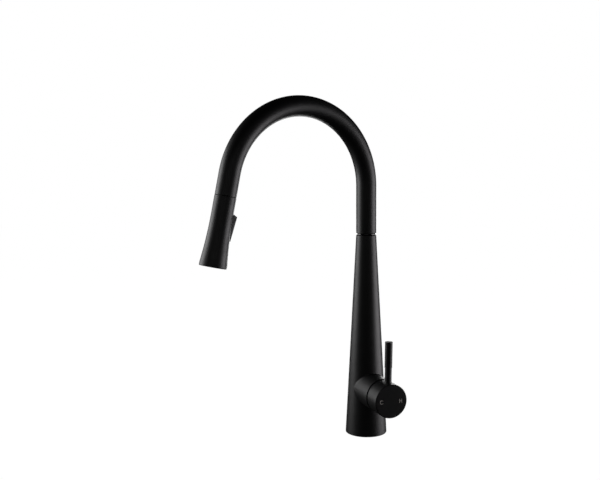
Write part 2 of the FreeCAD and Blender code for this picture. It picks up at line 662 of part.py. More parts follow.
def hose_nipple():
    """Brass nipple: barbed shank in the hose, flange under the ferrule, and a head that the nut turns on."""
    shank = rod(HOSE_BORE_RADIUS - LOOSE_GAP, FERRULE_S[0], NIPPLE_FLANGE_S[0])
    flange = rod(HOSE_RADIUS + FERRULE_WALL, *NIPPLE_FLANGE_S)
    shaft = rod(TUBE_RADIUS + TUBE_SEAL_RADIUS, NIPPLE_FLANGE_S[0], NIPPLE_HEAD_S[1])
    head = rod(HOSE_RADIUS, *NIPPLE_HEAD_S)
    groove_s = (HOSE_NUT_S[1] - 4 * TUBE_SEAL_RADIUS, HOSE_NUT_S[1] - 2 * TUBE_SEAL_RADIUS)
    groove = pipe(TUBE_RADIUS + TUBE_SEAL_RADIUS, TUBE_RADIUS - TUBE_SEAL_RADIUS, *groove_s)
    bore = rod(TUBE_BORE_RADIUS, FERRULE_S[0], NIPPLE_HEAD_S[1])
    return placed(fused([shank, flange, shaft, head]).cut([groove, bore]), OUTLET_FRAME)


def nipple_seal():
    height = HOSE_NUT_S[1] - 3 * TUBE_SEAL_RADIUS
    return placed(ring(TUBE_RADIUS, TUBE_SEAL_RADIUS, height), OUTLET_FRAME)


# --- spray head ---


def flare_radius(s):
    """Outer radius of the head: straight, then a concave arc that is tangent to the straight part."""
    length = FLARE_S[1] - FLARE_S[0]
    growth = HEAD_FACE_RADIUS - HEAD_TOP_RADIUS
    arc_radius = (length ** 2 + growth ** 2) / (2 * growth)
    along = min(max(s - FLARE_S[0], 0), length)
    return HEAD_TOP_RADIUS + arc_radius - math.sqrt(arc_radius ** 2 - along ** 2)


def head_outside():
    """The head's outside as a solid, with the flare as a true arc."""
    middle_s = sum(FLARE_S) / 2
    arc = Part.Arc(Vector(HEAD_TOP_RADIUS, 0, FLARE_S[0]), Vector(flare_radius(middle_s), 0, middle_s),
                   Vector(HEAD_FACE_RADIUS, 0, FLARE_S[1])).toShape()
    above = Part.makePolygon([
        Vector(0, 0, HEAD_TOP_S), Vector(HEAD_TOP_RADIUS - HEAD_EDGE / 2, 0, HEAD_TOP_S),
        Vector(HEAD_TOP_RADIUS, 0, HEAD_TOP_S + HEAD_EDGE / 2), Vector(HEAD_TOP_RADIUS, 0, FLARE_S[0]),
    ])
    below = Part.makePolygon([
        Vector(HEAD_FACE_RADIUS, 0, FLARE_S[1]), Vector(HEAD_FACE_RADIUS, 0, HEAD_LENGTH - HEAD_EDGE),
        Vector(HEAD_FACE_RADIUS - HEAD_EDGE, 0, HEAD_LENGTH), Vector(0, 0, HEAD_LENGTH),
        Vector(0, 0, HEAD_TOP_S),
    ])
    face = Part.Face(Part.Wire(above.Edges + [arc] + below.Edges))
    return face.revolve(ORIGIN, Z_AXIS, 360)


def spray_head_shell():
    inside = turned([
        (0, HEAD_TOP_S), (NECK_RADIUS + PRESS_GAP, HEAD_TOP_S), (NECK_RADIUS + PRESS_GAP, FLANGE_S[0]),
        (HEAD_BORE_RADIUS, FLANGE_S[0]), (HEAD_BORE_RADIUS, WATERWAY_S[1]), (FACE_BORE_RADIUS, DIVIDER_END_S),
        (FACE_BORE_RADIUS, HEAD_LENGTH), (0, HEAD_LENGTH),
    ])
    slot = block((0, BASE_RADIUS), (-TOGGLE_SLOT_HALF_WIDTH, TOGGLE_SLOT_HALF_WIDTH), TOGGLE_SLOT_S)
    return placed(head_outside().cut([inside, slot]), OUTLET_FRAME)


def docking_neck():
    """Neck that slides into the dock, with a flange that is held in the head."""
    outside = turned([
        (0, NECK_TOP_S), (NECK_RADIUS - HEAD_EDGE, NECK_TOP_S), (NECK_RADIUS, NECK_TOP_S + HEAD_EDGE * 2),
        (NECK_RADIUS, FLANGE_S[0]), (HEAD_BORE_RADIUS, FLANGE_S[0]), (HEAD_BORE_RADIUS, FLANGE_S[1]),
        (0, FLANGE_S[1]),
    ])
    bore = rod(NECK_BORE_RADIUS, NECK_TOP_S, NIPPLE_HEAD_S[1] + LOOSE_GAP)
    outlet = rod(WATERWAY_BORE_RADIUS, NECK_TOP_S, FLANGE_S[1])
    magnet_pocket = pipe(HEAD_MAGNET_RADII[1], HEAD_MAGNET_RADII[0], *HEAD_MAGNET_S)
    return placed(outside.cut([bore, outlet, magnet_pocket]), OUTLET_FRAME)


def head_magnet():
    return placed(pipe(HEAD_MAGNET_RADII[1], HEAD_MAGNET_RADII[0], *HEAD_MAGNET_S), OUTLET_FRAME)


def hose_nut():
    """Nut screwed into the neck, turning freely on the nipple."""
    bore = TUBE_RADIUS + TUBE_SEAL_RADIUS + RUNNING_GAP
    return placed(pipe(NECK_BORE_RADIUS, bore, *HOSE_NUT_S), OUTLET_FRAME)


def waterway_core():
    """Plastic core with the check valve's bore, the diverter's bore and the toggle's bay."""
    core = rod(HEAD_BORE_RADIUS, *WATERWAY_S)
    inlet = rod(WATERWAY_BORE_RADIUS, WATERWAY_S[0], SPOOL_S[0] - SPOOL_RADIUS)
    spool_bore_s = (SPOOL_S[0] - SPOOL_RADIUS, SPOOL_S[1] + SPOOL_RADIUS)
    spool_bore = rod(SPOOL_RADIUS + RUNNING_GAP, *spool_bore_s, centre=(SPOOL_U, 0))
    chamber = rod(AERATOR_RADIUS, spool_bore_s[1], WATERWAY_S[1])
    width = (-TOGGLE_SLOT_HALF_WIDTH, TOGGLE_SLOT_HALF_WIDTH)
    recess = block((TOGGLE_FLOOR_U, BASE_RADIUS), width, TOGGLE_SLOT_S)
    bay_reach = 2 * TOGGLE_HUB_RADIUS
    bay = block((0, BASE_RADIUS), width, (TOGGLE_PIVOT_S - bay_reach, TOGGLE_PIVOT_S + bay_reach))
    pin_hole = cross_rod(TOGGLE_PIN_RADIUS, TOGGLE_PIN_HALF_LENGTH, TOGGLE_PIVOT_U, TOGGLE_PIVOT_S)
    return placed(core.cut([inlet, spool_bore, chamber, recess, bay, pin_hole]), OUTLET_FRAME)


def check_valve():
    """Cup-shaped one-way valve in the head's inlet."""
    low, high = WATERWAY_S[0] + PRESS_GAP, WATERWAY_S[0] + 3 * WATERWAY_BORE_RADIUS
    cup = rod(WATERWAY_BORE_RADIUS, low, high)
    return placed(cup.cut(rod(WATERWAY_BORE_RADIUS / 2, low, high - HEAD_EDGE)), OUTLET_FRAME)


def toggle_pin():
    pin = cross_rod(TOGGLE_PIN_RADIUS, TOGGLE_PIN_HALF_LENGTH, TOGGLE_PIVOT_U, TOGGLE_PIVOT_S)
    return placed(pin, OUTLET_FRAME)


def spray_toggle():
    """Rocker paddle, proud at its slanted top and flush at its lower end, whose arm moves the diverter."""
    top_u = HEAD_TOP_RADIUS + TOGGLE_RISE
    end_u = flare_radius(TOGGLE_END_S)
    floor_u = TOGGLE_PIVOT_U + TOGGLE_HUB_RADIUS
    outline = [Vector(u, -TOGGLE_HALF_WIDTH, s) for u, s in (
        (top_u - HEAD_EDGE, TOGGLE_TOP_S), (top_u, TOGGLE_TOP_S + HEAD_EDGE), (end_u, TOGGLE_END_S),
        (floor_u, TOGGLE_END_S), (floor_u, TOGGLE_HEEL_S), TOGGLE_SHOULDER,
    )]
    paddle = Part.Face(Part.makePolygon(outline + outline[:1])).extrude(Vector(0, 2 * TOGGLE_HALF_WIDTH, 0))
    hub = cross_rod(TOGGLE_HUB_RADIUS, TOGGLE_HALF_WIDTH, TOGGLE_PIVOT_U, TOGGLE_PIVOT_S)
    web_s = (TOGGLE_PIVOT_S - TOGGLE_HUB_RADIUS, TOGGLE_PIVOT_S + TOGGLE_HUB_RADIUS)
    web = block((TOGGLE_PIVOT_U, floor_u), (-TOGGLE_HALF_WIDTH, TOGGLE_HALF_WIDTH), web_s)
    arm_s = (TOGGLE_PIVOT_S - ARM_HALF_THICKNESS, TOGGLE_PIVOT_S + ARM_HALF_THICKNESS)
    arm = block((SPOOL_U, TOGGLE_PIVOT_U), (-ARM_TIP_RADIUS, ARM_TIP_RADIUS), arm_s)
    tip = cross_rod(ARM_TIP_RADIUS, ARM_TIP_RADIUS, SPOOL_U, TOGGLE_PIVOT_S)
    pin_hole = cross_rod(TOGGLE_PIN_RADIUS + RUNNING_GAP, TOGGLE_HALF_WIDTH, TOGGLE_PIVOT_U, TOGGLE_PIVOT_S)
    return placed(fused([paddle, hub, web, arm, tip]).cut(pin_hole), OUTLET_FRAME)


def diverter_spool():
    """Spool that the toggle's arm slides between the stream and the spray."""
    spool = rod(SPOOL_RADIUS, *SPOOL_S, centre=(SPOOL_U, 0))
    half = ARM_TIP_RADIUS + LOOSE_GAP / 2
    notch = block((SPOOL_U - half, BASE_RADIUS), (-SPOOL_RADIUS, SPOOL_RADIUS),
                  (TOGGLE_PIVOT_S - half, TOGGLE_PIVOT_S + half))
    return placed(spool.cut(notch), OUTLET_FRAME)


def flow_divider():
    """Flared plastic part that leads the stream to the middle and the spray to the rim."""
    body = turned([
        (0, WATERWAY_S[1]), (HEAD_BORE_RADIUS, WATERWAY_S[1]), (FACE_BORE_RADIUS, DIVIDER_END_S),
        (0, DIVIDER_END_S),
    ])
    stream = rod(WATERWAY_BORE_RADIUS, WATERWAY_S[1], DIVIDER_END_S)
    cuts = [stream]
    for centre in circle_centres(AERATOR_RADIUS, NOZZLE_RINGS[0][1]):
        cuts.append(rod(NOZZLE_RADIUS, WATERWAY_S[1], DIVIDER_END_S, centre))
    return placed(body.cut(cuts), OUTLET_FRAME)


def face_seal():
    seal = pipe(FACE_BORE_RADIUS, FACE_BORE_RADIUS - FACE_SEAL_WALL, DIVIDER_END_S, PLATE_S[0])
    return placed(seal, OUTLET_FRAME)


def nozzle_centres():
    """Centres of the spray nozzles on the head's face."""
    centres = []
    for radius, count in NOZZLE_RINGS:
        centres.extend(circle_centres(radius, count))
    return centres


def nozzle_plate():
    plate = pipe(FACE_BORE_RADIUS, AERATOR_RADIUS, *PLATE_S)
    cuts = [rod(NOZZLE_RADIUS, PLATE_S[0], PLATE_S[1], centre) for centre in nozzle_centres()]
    return placed(plate.cut(cuts), OUTLET_FRAME)


def spray_nozzles():
    """Rubber nozzles, one in each hole of the plate."""
    nozzles = []
    for centre in nozzle_centres():
        nozzle = pipe(NOZZLE_RADIUS, NOZZLE_RADIUS / 2, PLATE_S[0], NOZZLE_END_S, centre)
        nozzles.append(placed(nozzle, OUTLET_FRAME))
    return Part.makeCompound(nozzles)


def aerator_insert():
    """Round insert with a stream hole in its middle and a ring of them round it."""
    insert = rod(AERATOR_RADIUS, *AERATOR_S)
    cuts = [rod(AERATOR_HOLE_RADIUS, *AERATOR_S)]
    for centre in circle_centres(AERATOR_HOLE_CIRCLE_RADIUS, AERATOR_OUTER_HOLES):
        cuts.append(rod(AERATOR_HOLE_RADIUS, AERATOR_S[0], AERATOR_S[1], centre))
    return placed(insert.cut(cuts), OUTLET_FRAME)


PARTS = {
    "column_shell": column_shell,
    "base_gasket": base_gasket,
    "base_core": base_core,
    "cold_supply_tube": lambda: water_tube(COLD_PORT),
    "hot_supply_tube": lambda: water_tube(HOT_PORT),
    "mixed_water_tube": lambda: water_tube(MIXED_PORT),
    "tube_seals": tube_seals,
    "valve_body": valve_body,
    "cartridge_housing": cartridge_housing,
    "cartridge_seals": cartridge_seals,
    "fixed_ceramic_disc": fixed_ceramic_disc,
    "moving_ceramic_disc": moving_ceramic_disc,
    "disc_carrier": disc_carrier,
    "cartridge_turret": cartridge_turret,
    "stem_pin": stem_pin,
    "cartridge_stem": cartridge_stem,
    "cartridge_nut": cartridge_nut,
    "dome_ring": dome_ring,
    "handle_knob": handle_knob,
    "handle_adapter": handle_adapter,
    "handle_grub_screw": handle_grub_screw,
    "screw_plug": screw_plug,
    "lever_stem": lever_stem,
    "lever_grip": lever_grip,
    "hot_mark": hot_mark,
    "cold_mark": cold_mark,
    "spout_tube": spout_tube,
    "pull_hose": pull_hose,
    "hose_inlet_fitting": hose_inlet_fitting,
    "upper_swivel_bushing": lambda: bushing(UPPER_BUSHING_Z),
    "lower_swivel_bushing": lambda: bushing(LOWER_BUSHING_Z),
    "swivel_glide_ring": swivel_glide_ring,
    "spout_insert": spout_insert,
    "friction_rings": friction_rings,
    "spout_circlip": spout_circlip,
    "dock_sleeve": dock_sleeve,
    "dock_magnet": dock_magnet,
    "hose_ferrule": hose_ferrule,
    "hose_nipple": hose_nipple,
    "nipple_seal": nipple_seal,
    "spray_head_shell": spray_head_shell,
    "docking_neck": docking_neck,
    "head_magnet": head_magnet,
    "hose_nut": hose_nut,
    "waterway_core": waterway_core,
    "check_valve": check_valve,
    "toggle_pin": toggle_pin,
    "spray_toggle": spray_toggle,
    "diverter_spool": diverter_spool,
    "flow_divider": flow_divider,
    "face_seal": face_seal,
    "nozzle_plate": nozzle_plate,
    "spray_nozzles": spray_nozzles,
    "aerator_insert": aerator_insert,
}

os.makedirs("parts", exist_ok=True)
for node, make in PARTS.items():
    shape = make()
    print(node, "solids", len(shape.Solids), "volume", round(shape.Volume, 1), "valid", shape.isValid())
    shape.exportStep(f"parts/{node}.step")
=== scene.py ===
import json
import math

import bmesh
import bpy
from mathutils import Matrix, Vector


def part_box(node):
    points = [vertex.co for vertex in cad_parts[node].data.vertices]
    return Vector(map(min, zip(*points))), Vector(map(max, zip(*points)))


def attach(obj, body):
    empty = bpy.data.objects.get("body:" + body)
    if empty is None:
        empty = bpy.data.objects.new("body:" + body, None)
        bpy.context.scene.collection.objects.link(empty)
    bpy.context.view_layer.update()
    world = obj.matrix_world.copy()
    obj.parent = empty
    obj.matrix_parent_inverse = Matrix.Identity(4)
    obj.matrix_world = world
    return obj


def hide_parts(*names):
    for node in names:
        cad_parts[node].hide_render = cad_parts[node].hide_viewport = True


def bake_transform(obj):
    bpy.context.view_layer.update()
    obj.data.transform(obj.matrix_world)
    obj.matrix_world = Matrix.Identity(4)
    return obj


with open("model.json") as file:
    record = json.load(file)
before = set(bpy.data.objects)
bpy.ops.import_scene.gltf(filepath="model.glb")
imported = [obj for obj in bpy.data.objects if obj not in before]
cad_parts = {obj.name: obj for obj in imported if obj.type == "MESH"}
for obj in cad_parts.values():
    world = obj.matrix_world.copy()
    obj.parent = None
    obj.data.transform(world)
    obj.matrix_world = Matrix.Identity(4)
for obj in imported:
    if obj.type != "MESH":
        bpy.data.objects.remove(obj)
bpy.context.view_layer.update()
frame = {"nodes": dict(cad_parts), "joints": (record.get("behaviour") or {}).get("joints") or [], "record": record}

# Lengths are in millimetres in a piece's own frame, and its matrix turns them into metres in the row frame.
MM = 0.001

# --- camera: where the viewer stands, measured from the faucet's base ---
CAMERA_BEARING = 66.07
CAMERA_DISTANCE = 1.14888
CAMERA_HEIGHT = 0.37386
CAMERA_YAW = 4.12
CAMERA_PITCH = 6.37
CAMERA_ROLL = -0.41
CAMERA_LENS = 55.47
SENSOR_WIDTH = 36.0

# --- stage ---
LIGHT_TARGET_Z = 0.2
WORLD_LIGHT = 0.01
FLOOR_REACH = 3000.0
FLOOR_DROP = 0.2

# --- mesh density ---
AROUND = 128
HALF = AROUND // 2
FILLET_STEPS = 5
EASED_TURNS = (30, 60, 90)  # degrees
PATCH_STEPS = 9
PATCH_SPREAD = 1.3
SLAB_STEPS = 4
SPOUT_AROUND = 96
SPOUT_ARCH_STEPS = 110
HOSE_AROUND = 40
HOSE_COLUMN_STEPS = 12
HOSE_ARCH_STEPS = 50
HOSE_REACH_STEPS = 90
FLARE_STEPS = 14
HUB_STEPS = 12
ARM_STEPS = 14
NOZZLE_AROUND = 20
LEVER_AROUND = 64
MERGE_DISTANCE = 1e-7
SHARP_ANGLE = 32  # degrees

# --- materials ---
NOISE_RANGE = (0.3, 0.7)

# --- column ---
COLUMN_WALL = 2.6
COLUMN_FOOT_EDGE = 1.0
COLUMN_TOP_EDGE = 0.5
RECESS_RADIUS = 20.5
RECESS_DEPTH = 14.0
RECESS_EDGE = 0.2
LIP_RADIUS = 20.0
LIP_TOP_Z = 17.0
SWIVEL_BORE_RADIUS = 10.3
SWIVEL_BORE_Z = 196.0
GASKET_WIDTH = 2.4
GLIDE_RING_WIDTH = 2.2
GLIDE_RING_EDGE = 1.0
BOSS_RADIUS = 20.9
BOSS_EDGE = 0.6
BOSS_BORE_RADIUS = 18.95
BOSS_FILLET = 1.3
BOSS_RIM_SUPPORT = 3.0
BOSS_SHARES = (0.04, 0.25, 0.5, 0.75)
BOSS_BAND = (27.0, 90.0)
BOSS_BAND_ROWS = 32

# --- handle ---
KNOB_FACE_WALL = 3.0
KNOB_CAVITY_RADIUS = 18.2
KNOB_FRONT_EDGE = 1.0
KNOB_REAR_EDGE = 0.5
KNOB_HOLE_EDGE = 0.25
KNOB_MOUTH_EDGE = 0.3
KNOB_CAVITY_EDGE = 0.05
KNOB_BAND_INSETS = (4.0, 1.8)
KNOB_BAND_ROWS = 16
LEVER_X = 64.0
LEVER_RADIUS = 4.2
LEVER_FOOT = 10.0
SPIGOT_RADIUS = 3.2
SPIGOT_TOP = 62.0
GRIP_RADIUS = 4.6
GRIP_BOTTOM = 39.1
GRIP_TOP = 70.8
STEM_EDGE = 0.1
GRIP_FOOT_EDGE = 0.25
GRIP_TOP_EDGE = 0.6
PLUG_X = 62.0
PLUG_RADIUS = 2.6
KNOB_HOLES = ((PLUG_RADIUS, PLUG_X), (LEVER_RADIUS, LEVER_X))

# --- spout ---
ARCH_RADIUS = 97.0
OUTLET_LENGTH = 26.5
SPOUT_WALL = 1.2
SPOUT_EDGE = 0.45
SPOUT_RIM_SUPPORT = 5  # times the edge's radius
SPOUT_RIM_CLEAR = 6  # times the edge's radius
HOSE_RADIUS = 5.25
HOSE_BORE_RADIUS = 3.7
HOSE_END = 12.0
STRANDS = 16.0
STRAND_SLOPE = 210.0

# --- spray head, measured down the outlet's axis from the tube's end ---
HEAD_LENGTH = 81.2
HEAD_TOP = 0.25
HEAD_TOP_RADIUS = 12.6
HEAD_FACE_RADIUS = 15.9
HEAD_TOP_EDGE = 0.35
HEAD_FACE_EDGE = 0.8
FLARE = (20.0, 77.0)
NECK_CLEARANCE_RADIUS = 8.85
HEAD_BORE_RADIUS = 11.0
HEAD_BORE = (2.0, 62.0)
FACE_BORE_RADIUS = 14.3
FACE_BORE_TOP = 73.0
SLOT = (17.8, 50.6)
SLOT_HALF_WIDTH = 5.3
SLOT_EDGE = 0.3
SLOT_SQUARENESS = 16
SLOT_BAND = (14.0, 56.0)
SLOT_BAND_ROWS = 36
TOGGLE_HALF_WIDTH = 5.0
TOGGLE_TOP = 20.8
TOGGLE_SHOULDER = (11.6, 18.4, 0.4)
TOGGLE_HEEL = 19.6
TOGGLE_PIVOT = (7.6, 37.0)
TOGGLE_HUB_RADIUS = 2.2
ARM_HALF_THICKNESS = 0.6
ARM_TIP_RADIUS = 1.1
DIVERTER_U = 2.2
TOGGLE_END = 49.8
TOGGLE_RISE = 4.4
TOGGLE_FLOOR = 9.8
TOGGLE_MIDDLE = 12.3
TOGGLE_EDGE = 0.45
TOGGLE_TIP_EDGE = 0.5
TOGGLE_END_RISE = 0.1
ARM_EDGE = 0.2
NOZZLE_RINGS = ((9.4, 12), (12.2, 18))
NOZZLE_RADIUS = 0.9
NOZZLES = (74.0, 81.0)
NOZZLE_TIP_EDGE = 0.3
NOZZLE_BORE_EDGE = 0.1


# --- frames ---


def joint(name):
    return next(j for j in frame["joints"] if j["name"] == name)


def axes(origin, x, z):
    """Matrix from a piece's own millimetres to the row frame, from its origin and two of its axes."""
    x, z = Vector(x).normalized(), Vector(z).normalized()
    matrix = Matrix((x, z.cross(x), z)).transposed().to_4x4()
    matrix.translation = Vector(origin)
    return matrix @ Matrix.Scale(MM, 4)


def low(node):
    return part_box(node)[0] / MM


def high(node):
    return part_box(node)[1] / MM


FLOW = joint("handle_flow")
TWIST = joint("head_twist")
HANDLE_Z = FLOW["pos_m"][2] / MM
LEVER_UP = Vector((0, -FLOW["axis"][2], FLOW["axis"][1]))
OUTLET = Vector(TWIST["pos_m"])
DOWN = Vector(TWIST["axis"])
SPOUT_OUT = Vector((DOWN.x, DOWN.y, 0)).normalized()
SPOUT_CROSS = Vector((-SPOUT_OUT.y, SPOUT_OUT.x, 0))

ROW = Matrix.Scale(MM, 4)
HANDLE_CENTRE = Vector((0, 0, HANDLE_Z * MM))
HANDLE_FRAME = axes(HANDLE_CENTRE, -LEVER_UP, (1, 0, 0))
LEVER_FRAME = axes(HANDLE_CENTRE + Vector((LEVER_X * MM, 0, 0)), (1, 0, 0), LEVER_UP)
OUTLET_FRAME = axes(OUTLET, DOWN.cross(-SPOUT_CROSS), DOWN)

BASE_RADIUS = -low("column_shell").x
COLUMN_TOP_Z = high("column_shell").z
BOSS_RIM_X = high("column_shell").x
SPOUT_RADIUS = -low("spout_tube").x
SPOUT_BOTTOM_Z = low("spout_tube").z
ARCH_START_Z = high("spout_tube").z - SPOUT_RADIUS - ARCH_RADIUS
ARCH_SWEEP = math.acos(DOWN.z)
KNOB_BACK_X = low("handle_knob").x
KNOB_FRONT_X = high("handle_knob").x
KNOB_RADIUS = (high("handle_knob").z - low("handle_knob").z) / 2
RING_RADIUS = high("swivel_glide_ring").x
RING_Z = (low("swivel_glide_ring").z, high("swivel_glide_ring").z)


# --- mesh building ---


class Shell:
    """Points and faces of one piece, in millimetres in its own frame."""

    def __init__(self):
        self.points = []
        self.faces = []

    def loop(self, points):
        start = len(self.points)
        self.points.extend(points)
        return list(range(start, len(self.points)))

    def bridge(self, first, second, closed=True):
        """Quads between two loops of the same length."""
        count = len(first)
        for i in range(count if closed else count - 1):
            j = (i + 1) % count
            self.faces.append((first[i], first[j], second[j], second[i]))

    def bridge_all(self, loops):
        for first, second in zip(loops, loops[1:]):
            self.bridge(first, second)

    def cap(self, loop, centre):
        hub = self.loop([centre])[0]
        for i, corner in enumerate(loop):
            self.faces.append((corner, loop[(i + 1) % len(loop)], hub))

    def lathe(self, profile, around=AROUND, closed=False, centre=(0, 0)):
        """Loops about the own Z axis, one for each (radius, height) of the profile. Radius 0 closes it."""
        loops = []
        for radius, height in profile:
            if radius > 0:
                loops.append(self.loop(circle(radius, height, around, centre)))
        self.bridge_all(loops)
        if closed:
            self.bridge(loops[-1], loops[0])
        for index, loop in ((0, loops[0]), (-1, loops[-1])):
            if profile[index][0] == 0:
                self.cap(loop, (centre[0], centre[1], profile[index][1]))
        return loops


def circle(radius, height, around, centre=(0, 0)):
    points = []
    for k in range(around):
        turn = 2 * math.pi * k / around
        x, y = centre[0] + radius * math.cos(turn), centre[1] + radius * math.sin(turn)
        points.append((x, y, height))
    return points


def rounded(corners, closed=False):
    """Outline through (a, b) or (a, b, edge radius) corners, with arcs and support points at rounded ones."""
    outline = []
    count = len(corners)
    for i, corner in enumerate(corners):
        here = Vector(corner[:2])
        if len(corner) == 2 or (not closed and i in (0, count - 1)):
            outline.append(tuple(here))
            continue
        back = (Vector(corners[i - 1][:2]) - here).normalized()
        ahead = (Vector(corners[(i + 1) % count][:2]) - here).normalized()
        outline.extend(corner_arc(here, back, ahead, corner[2]))
    return outline


def corner_arc(here, back, ahead, radius):
    """Arc that rounds the corner between two directions, with a support point before and after it."""
    half_angle = back.angle(ahead) / 2
    reach = radius / math.tan(half_angle)
    centre = here + (back + ahead).normalized() * (radius / math.sin(half_angle))
    start = here + back * reach - centre
    end = here + ahead * reach - centre
    points = [here + back * (reach + radius / 2)]
    sweep = start.angle(end)
    for step in range(FILLET_STEPS + 1):
        t = step / FILLET_STEPS
        mixed = start * math.sin((1 - t) * sweep) + end * math.sin(t * sweep)
        points.append(centre + mixed / math.sin(sweep))
    points.append(here + ahead * (reach + radius / 2))
    return [tuple(point) for point in points]


def eased(edge):
    """(inset, depth) steps round a hole's eased edge, from the surface to straight in."""
    for angle in EASED_TURNS:
        turn = math.radians(angle)
        yield edge * (1 - math.sin(turn)), edge * (1 - math.cos(turn))


def rim_cells(first, rows):
    """(column, row) places round the edge of half a band."""
    cells = [(k, 0) for k in range(first, first + HALF)]
    cells += [(first + HALF, row) for row in range(rows)]
    cells += [(k, rows) for k in range(first + HALF, first, -1)]
    cells += [(first, row) for row in range(rows, 0, -1)]
    return cells


def plain_half(shell, grid, first):
    """Faces of half a band that has no hole."""
    for below, above in zip(grid, grid[1:]):
        for k in range(first, first + HALF):
            a, b = k % AROUND, (k + 1) % AROUND
            shell.faces.append((below[a], below[b], above[b], above[a]))


def band(shell, bottom, top, heights, rows, radius_at, holes, aspect):
    """Surface of revolution between two loops, with a hole in the half centred on +X, on -X or on both.

    holes[side](direction) gives a hole's edge as (angle from the side's middle, height). Each hole's loop,
    with the directions of its points, is returned.
    """
    grid = [bottom] + [[None] * AROUND for _ in range(rows - 1)] + [top]

    def height_at(row):
        return heights[0] + (heights[1] - heights[0]) * row / rows

    def place(turn, height):
        radius = radius_at(height)
        return (radius * math.cos(turn), radius * math.sin(turn), height)

    for row in range(1, rows):
        for k in range(AROUND):
            side = 0 if (k + HALF // 2) % AROUND < HALF else 1
            on_seam = (k + HALF // 2) % HALF == 0
            if on_seam or side not in holes:
                grid[row][k] = shell.loop([place(2 * math.pi * k / AROUND, height_at(row))])[0]
    edges = {}
    for side in (0, 1):
        first = side * HALF - HALF // 2
        if side not in holes:
            plain_half(shell, grid, first)
            continue
        rim = rim_cells(first, rows)
        middle = side * math.pi
        outer = [grid[row][k % AROUND] for k, row in rim]
        spots = [(2 * math.pi * k / AROUND - middle, height_at(row)) for k, row in rim]
        edges[side] = holed_patch(shell, outer, spots, holes[side], aspect, middle, place)
    return edges


def holed_patch(shell, outer, spots, hole, aspect, middle, place):
    """Loops that spread from a hole's edge to the half band's rim. The first one and its directions."""
    centre = hole(None)
    directions = [math.atan2((height - centre) / aspect[1], turn / aspect[0]) for turn, height in spots]
    inner_spots = [hole(direction) for direction in directions]
    loops = []
    for step in range(PATCH_STEPS):
        share = (step / PATCH_STEPS) ** PATCH_SPREAD
        points = []
        for (turn_a, height_a), (turn_b, height_b) in zip(inner_spots, spots):
            turn = turn_a + (turn_b - turn_a) * share
            points.append(place(middle + turn, height_a + (height_b - height_a) * share))
        loops.append(shell.loop(points))
    shell.bridge_all(loops + [outer])
    return loops[0], directions


def make_piece(name, shell, matrix, body, slot, *nodes):
    """The shell as an object that rides on a body, in its slot's finish."""
    mesh = bpy.data.meshes.new(name)
    mesh.from_pydata(shell.points, [], shell.faces)
    mesh.transform(matrix)
    work = bmesh.new()
    work.from_mesh(mesh)
    bmesh.ops.remove_doubles(work, verts=work.verts, dist=MERGE_DISTANCE)
    bmesh.ops.recalc_face_normals(work, faces=work.faces)
    work.to_mesh(mesh)
    work.free()
    mesh.shade_smooth()
    mesh.set_sharp_from_angle(angle=math.radians(SHARP_ANGLE))
    piece = bpy.data.objects.new(name, mesh)
    bpy.context.scene.collection.objects.link(piece)
    mesh.materials.append(MATERIALS[slot])
    if body:
        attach(piece, body)
    if nodes:
        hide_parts(*nodes)
    return piece


# --- materials ---


class Finish:
    """Node-based material with its bump, roughness and colour patterns in object coordinates."""

    def __init__(self, name, colour, roughness, **sockets):
        self.material = bpy.data.materials.new(name)
        self.material.use_nodes = True
        self.tree = self.material.node_tree
        self.shader = self.tree.nodes["Principled BSDF"]
        self.shader.inputs["Base Color"].default_value = (*colour, 1)
        self.shader.inputs["Roughness"].default_value = roughness
        for socket, value in sockets.items():
            self.shader.inputs[socket.replace("_", " ")].default_value = value
        self.place = self.node("ShaderNodeTexCoord").outputs["Object"]
        self.colour = colour
        self.roughness = roughness
        self.last_bump = None

    def node(self, kind, **values):
        made = self.tree.nodes.new(kind)
        for key, value in values.items():
            setattr(made, key, value)
        return made

    def link(self, source, target):
        self.tree.links.new(source, target)

    def noise(self, scale, detail=3.0, place=None):
        texture = self.node("ShaderNodeTexNoise")
        texture.inputs["Scale"].default_value = scale
        texture.inputs["Detail"].default_value = detail
        self.link(place or self.place, texture.inputs["Vector"])
        return texture.outputs["Fac"]

    def span(self, source, start, end):
        """The source's middle range, spread from start to end."""
        spread = self.node("ShaderNodeMapRange")
        spread.inputs["From Min"].default_value = NOISE_RANGE[0]
        spread.inputs["From Max"].default_value = NOISE_RANGE[1]
        spread.inputs["To Min"].default_value = start
        spread.inputs["To Max"].default_value = end
        self.link(source, spread.inputs["Value"])
        return spread.outputs["Result"]

    def vary_roughness(self, scale, amount):
        low_end, high_end = self.roughness - amount, self.roughness + amount
        self.link(self.span(self.noise(scale), low_end, high_end), self.shader.inputs["Roughness"])

    def vary_colour(self, scale, amount):
        ramp = self.node("ShaderNodeValToRGB")
        ends = zip(ramp.color_ramp.elements, NOISE_RANGE, (1 - amount, 1 + amount))
        for element, position, share in ends:
            element.position = position
            element.color = (*(channel * share for channel in self.colour), 1)
        self.link(self.noise(scale), ramp.inputs["Fac"])
        self.link(ramp.outputs["Color"], self.shader.inputs["Base Color"])

    def bump(self, source, distance, strength=1.0):
        bump = self.node("ShaderNodeBump")
        bump.inputs["Strength"].default_value = strength
        bump.inputs["Distance"].default_value = distance
        self.link(source, bump.inputs["Height"])
        if self.last_bump:
            self.link(self.last_bump, bump.inputs["Normal"])
        self.last_bump = bump.outputs["Normal"]
        self.link(self.last_bump, self.shader.inputs["Normal"])


def powder_coat():
    """Satin black powder coat: fine orange peel over a slow change of gloss."""
    finish = Finish("black_powder_coat", (0.003, 0.003, 0.0034), 0.44, IOR=1.5)
    finish.vary_roughness(90, 0.02)
    finish.vary_colour(140, 0.15)
    finish.bump(finish.noise(1400, 2), 0.000006)
    finish.bump(finish.noise(420, 2), 0.000003)
    return finish.material


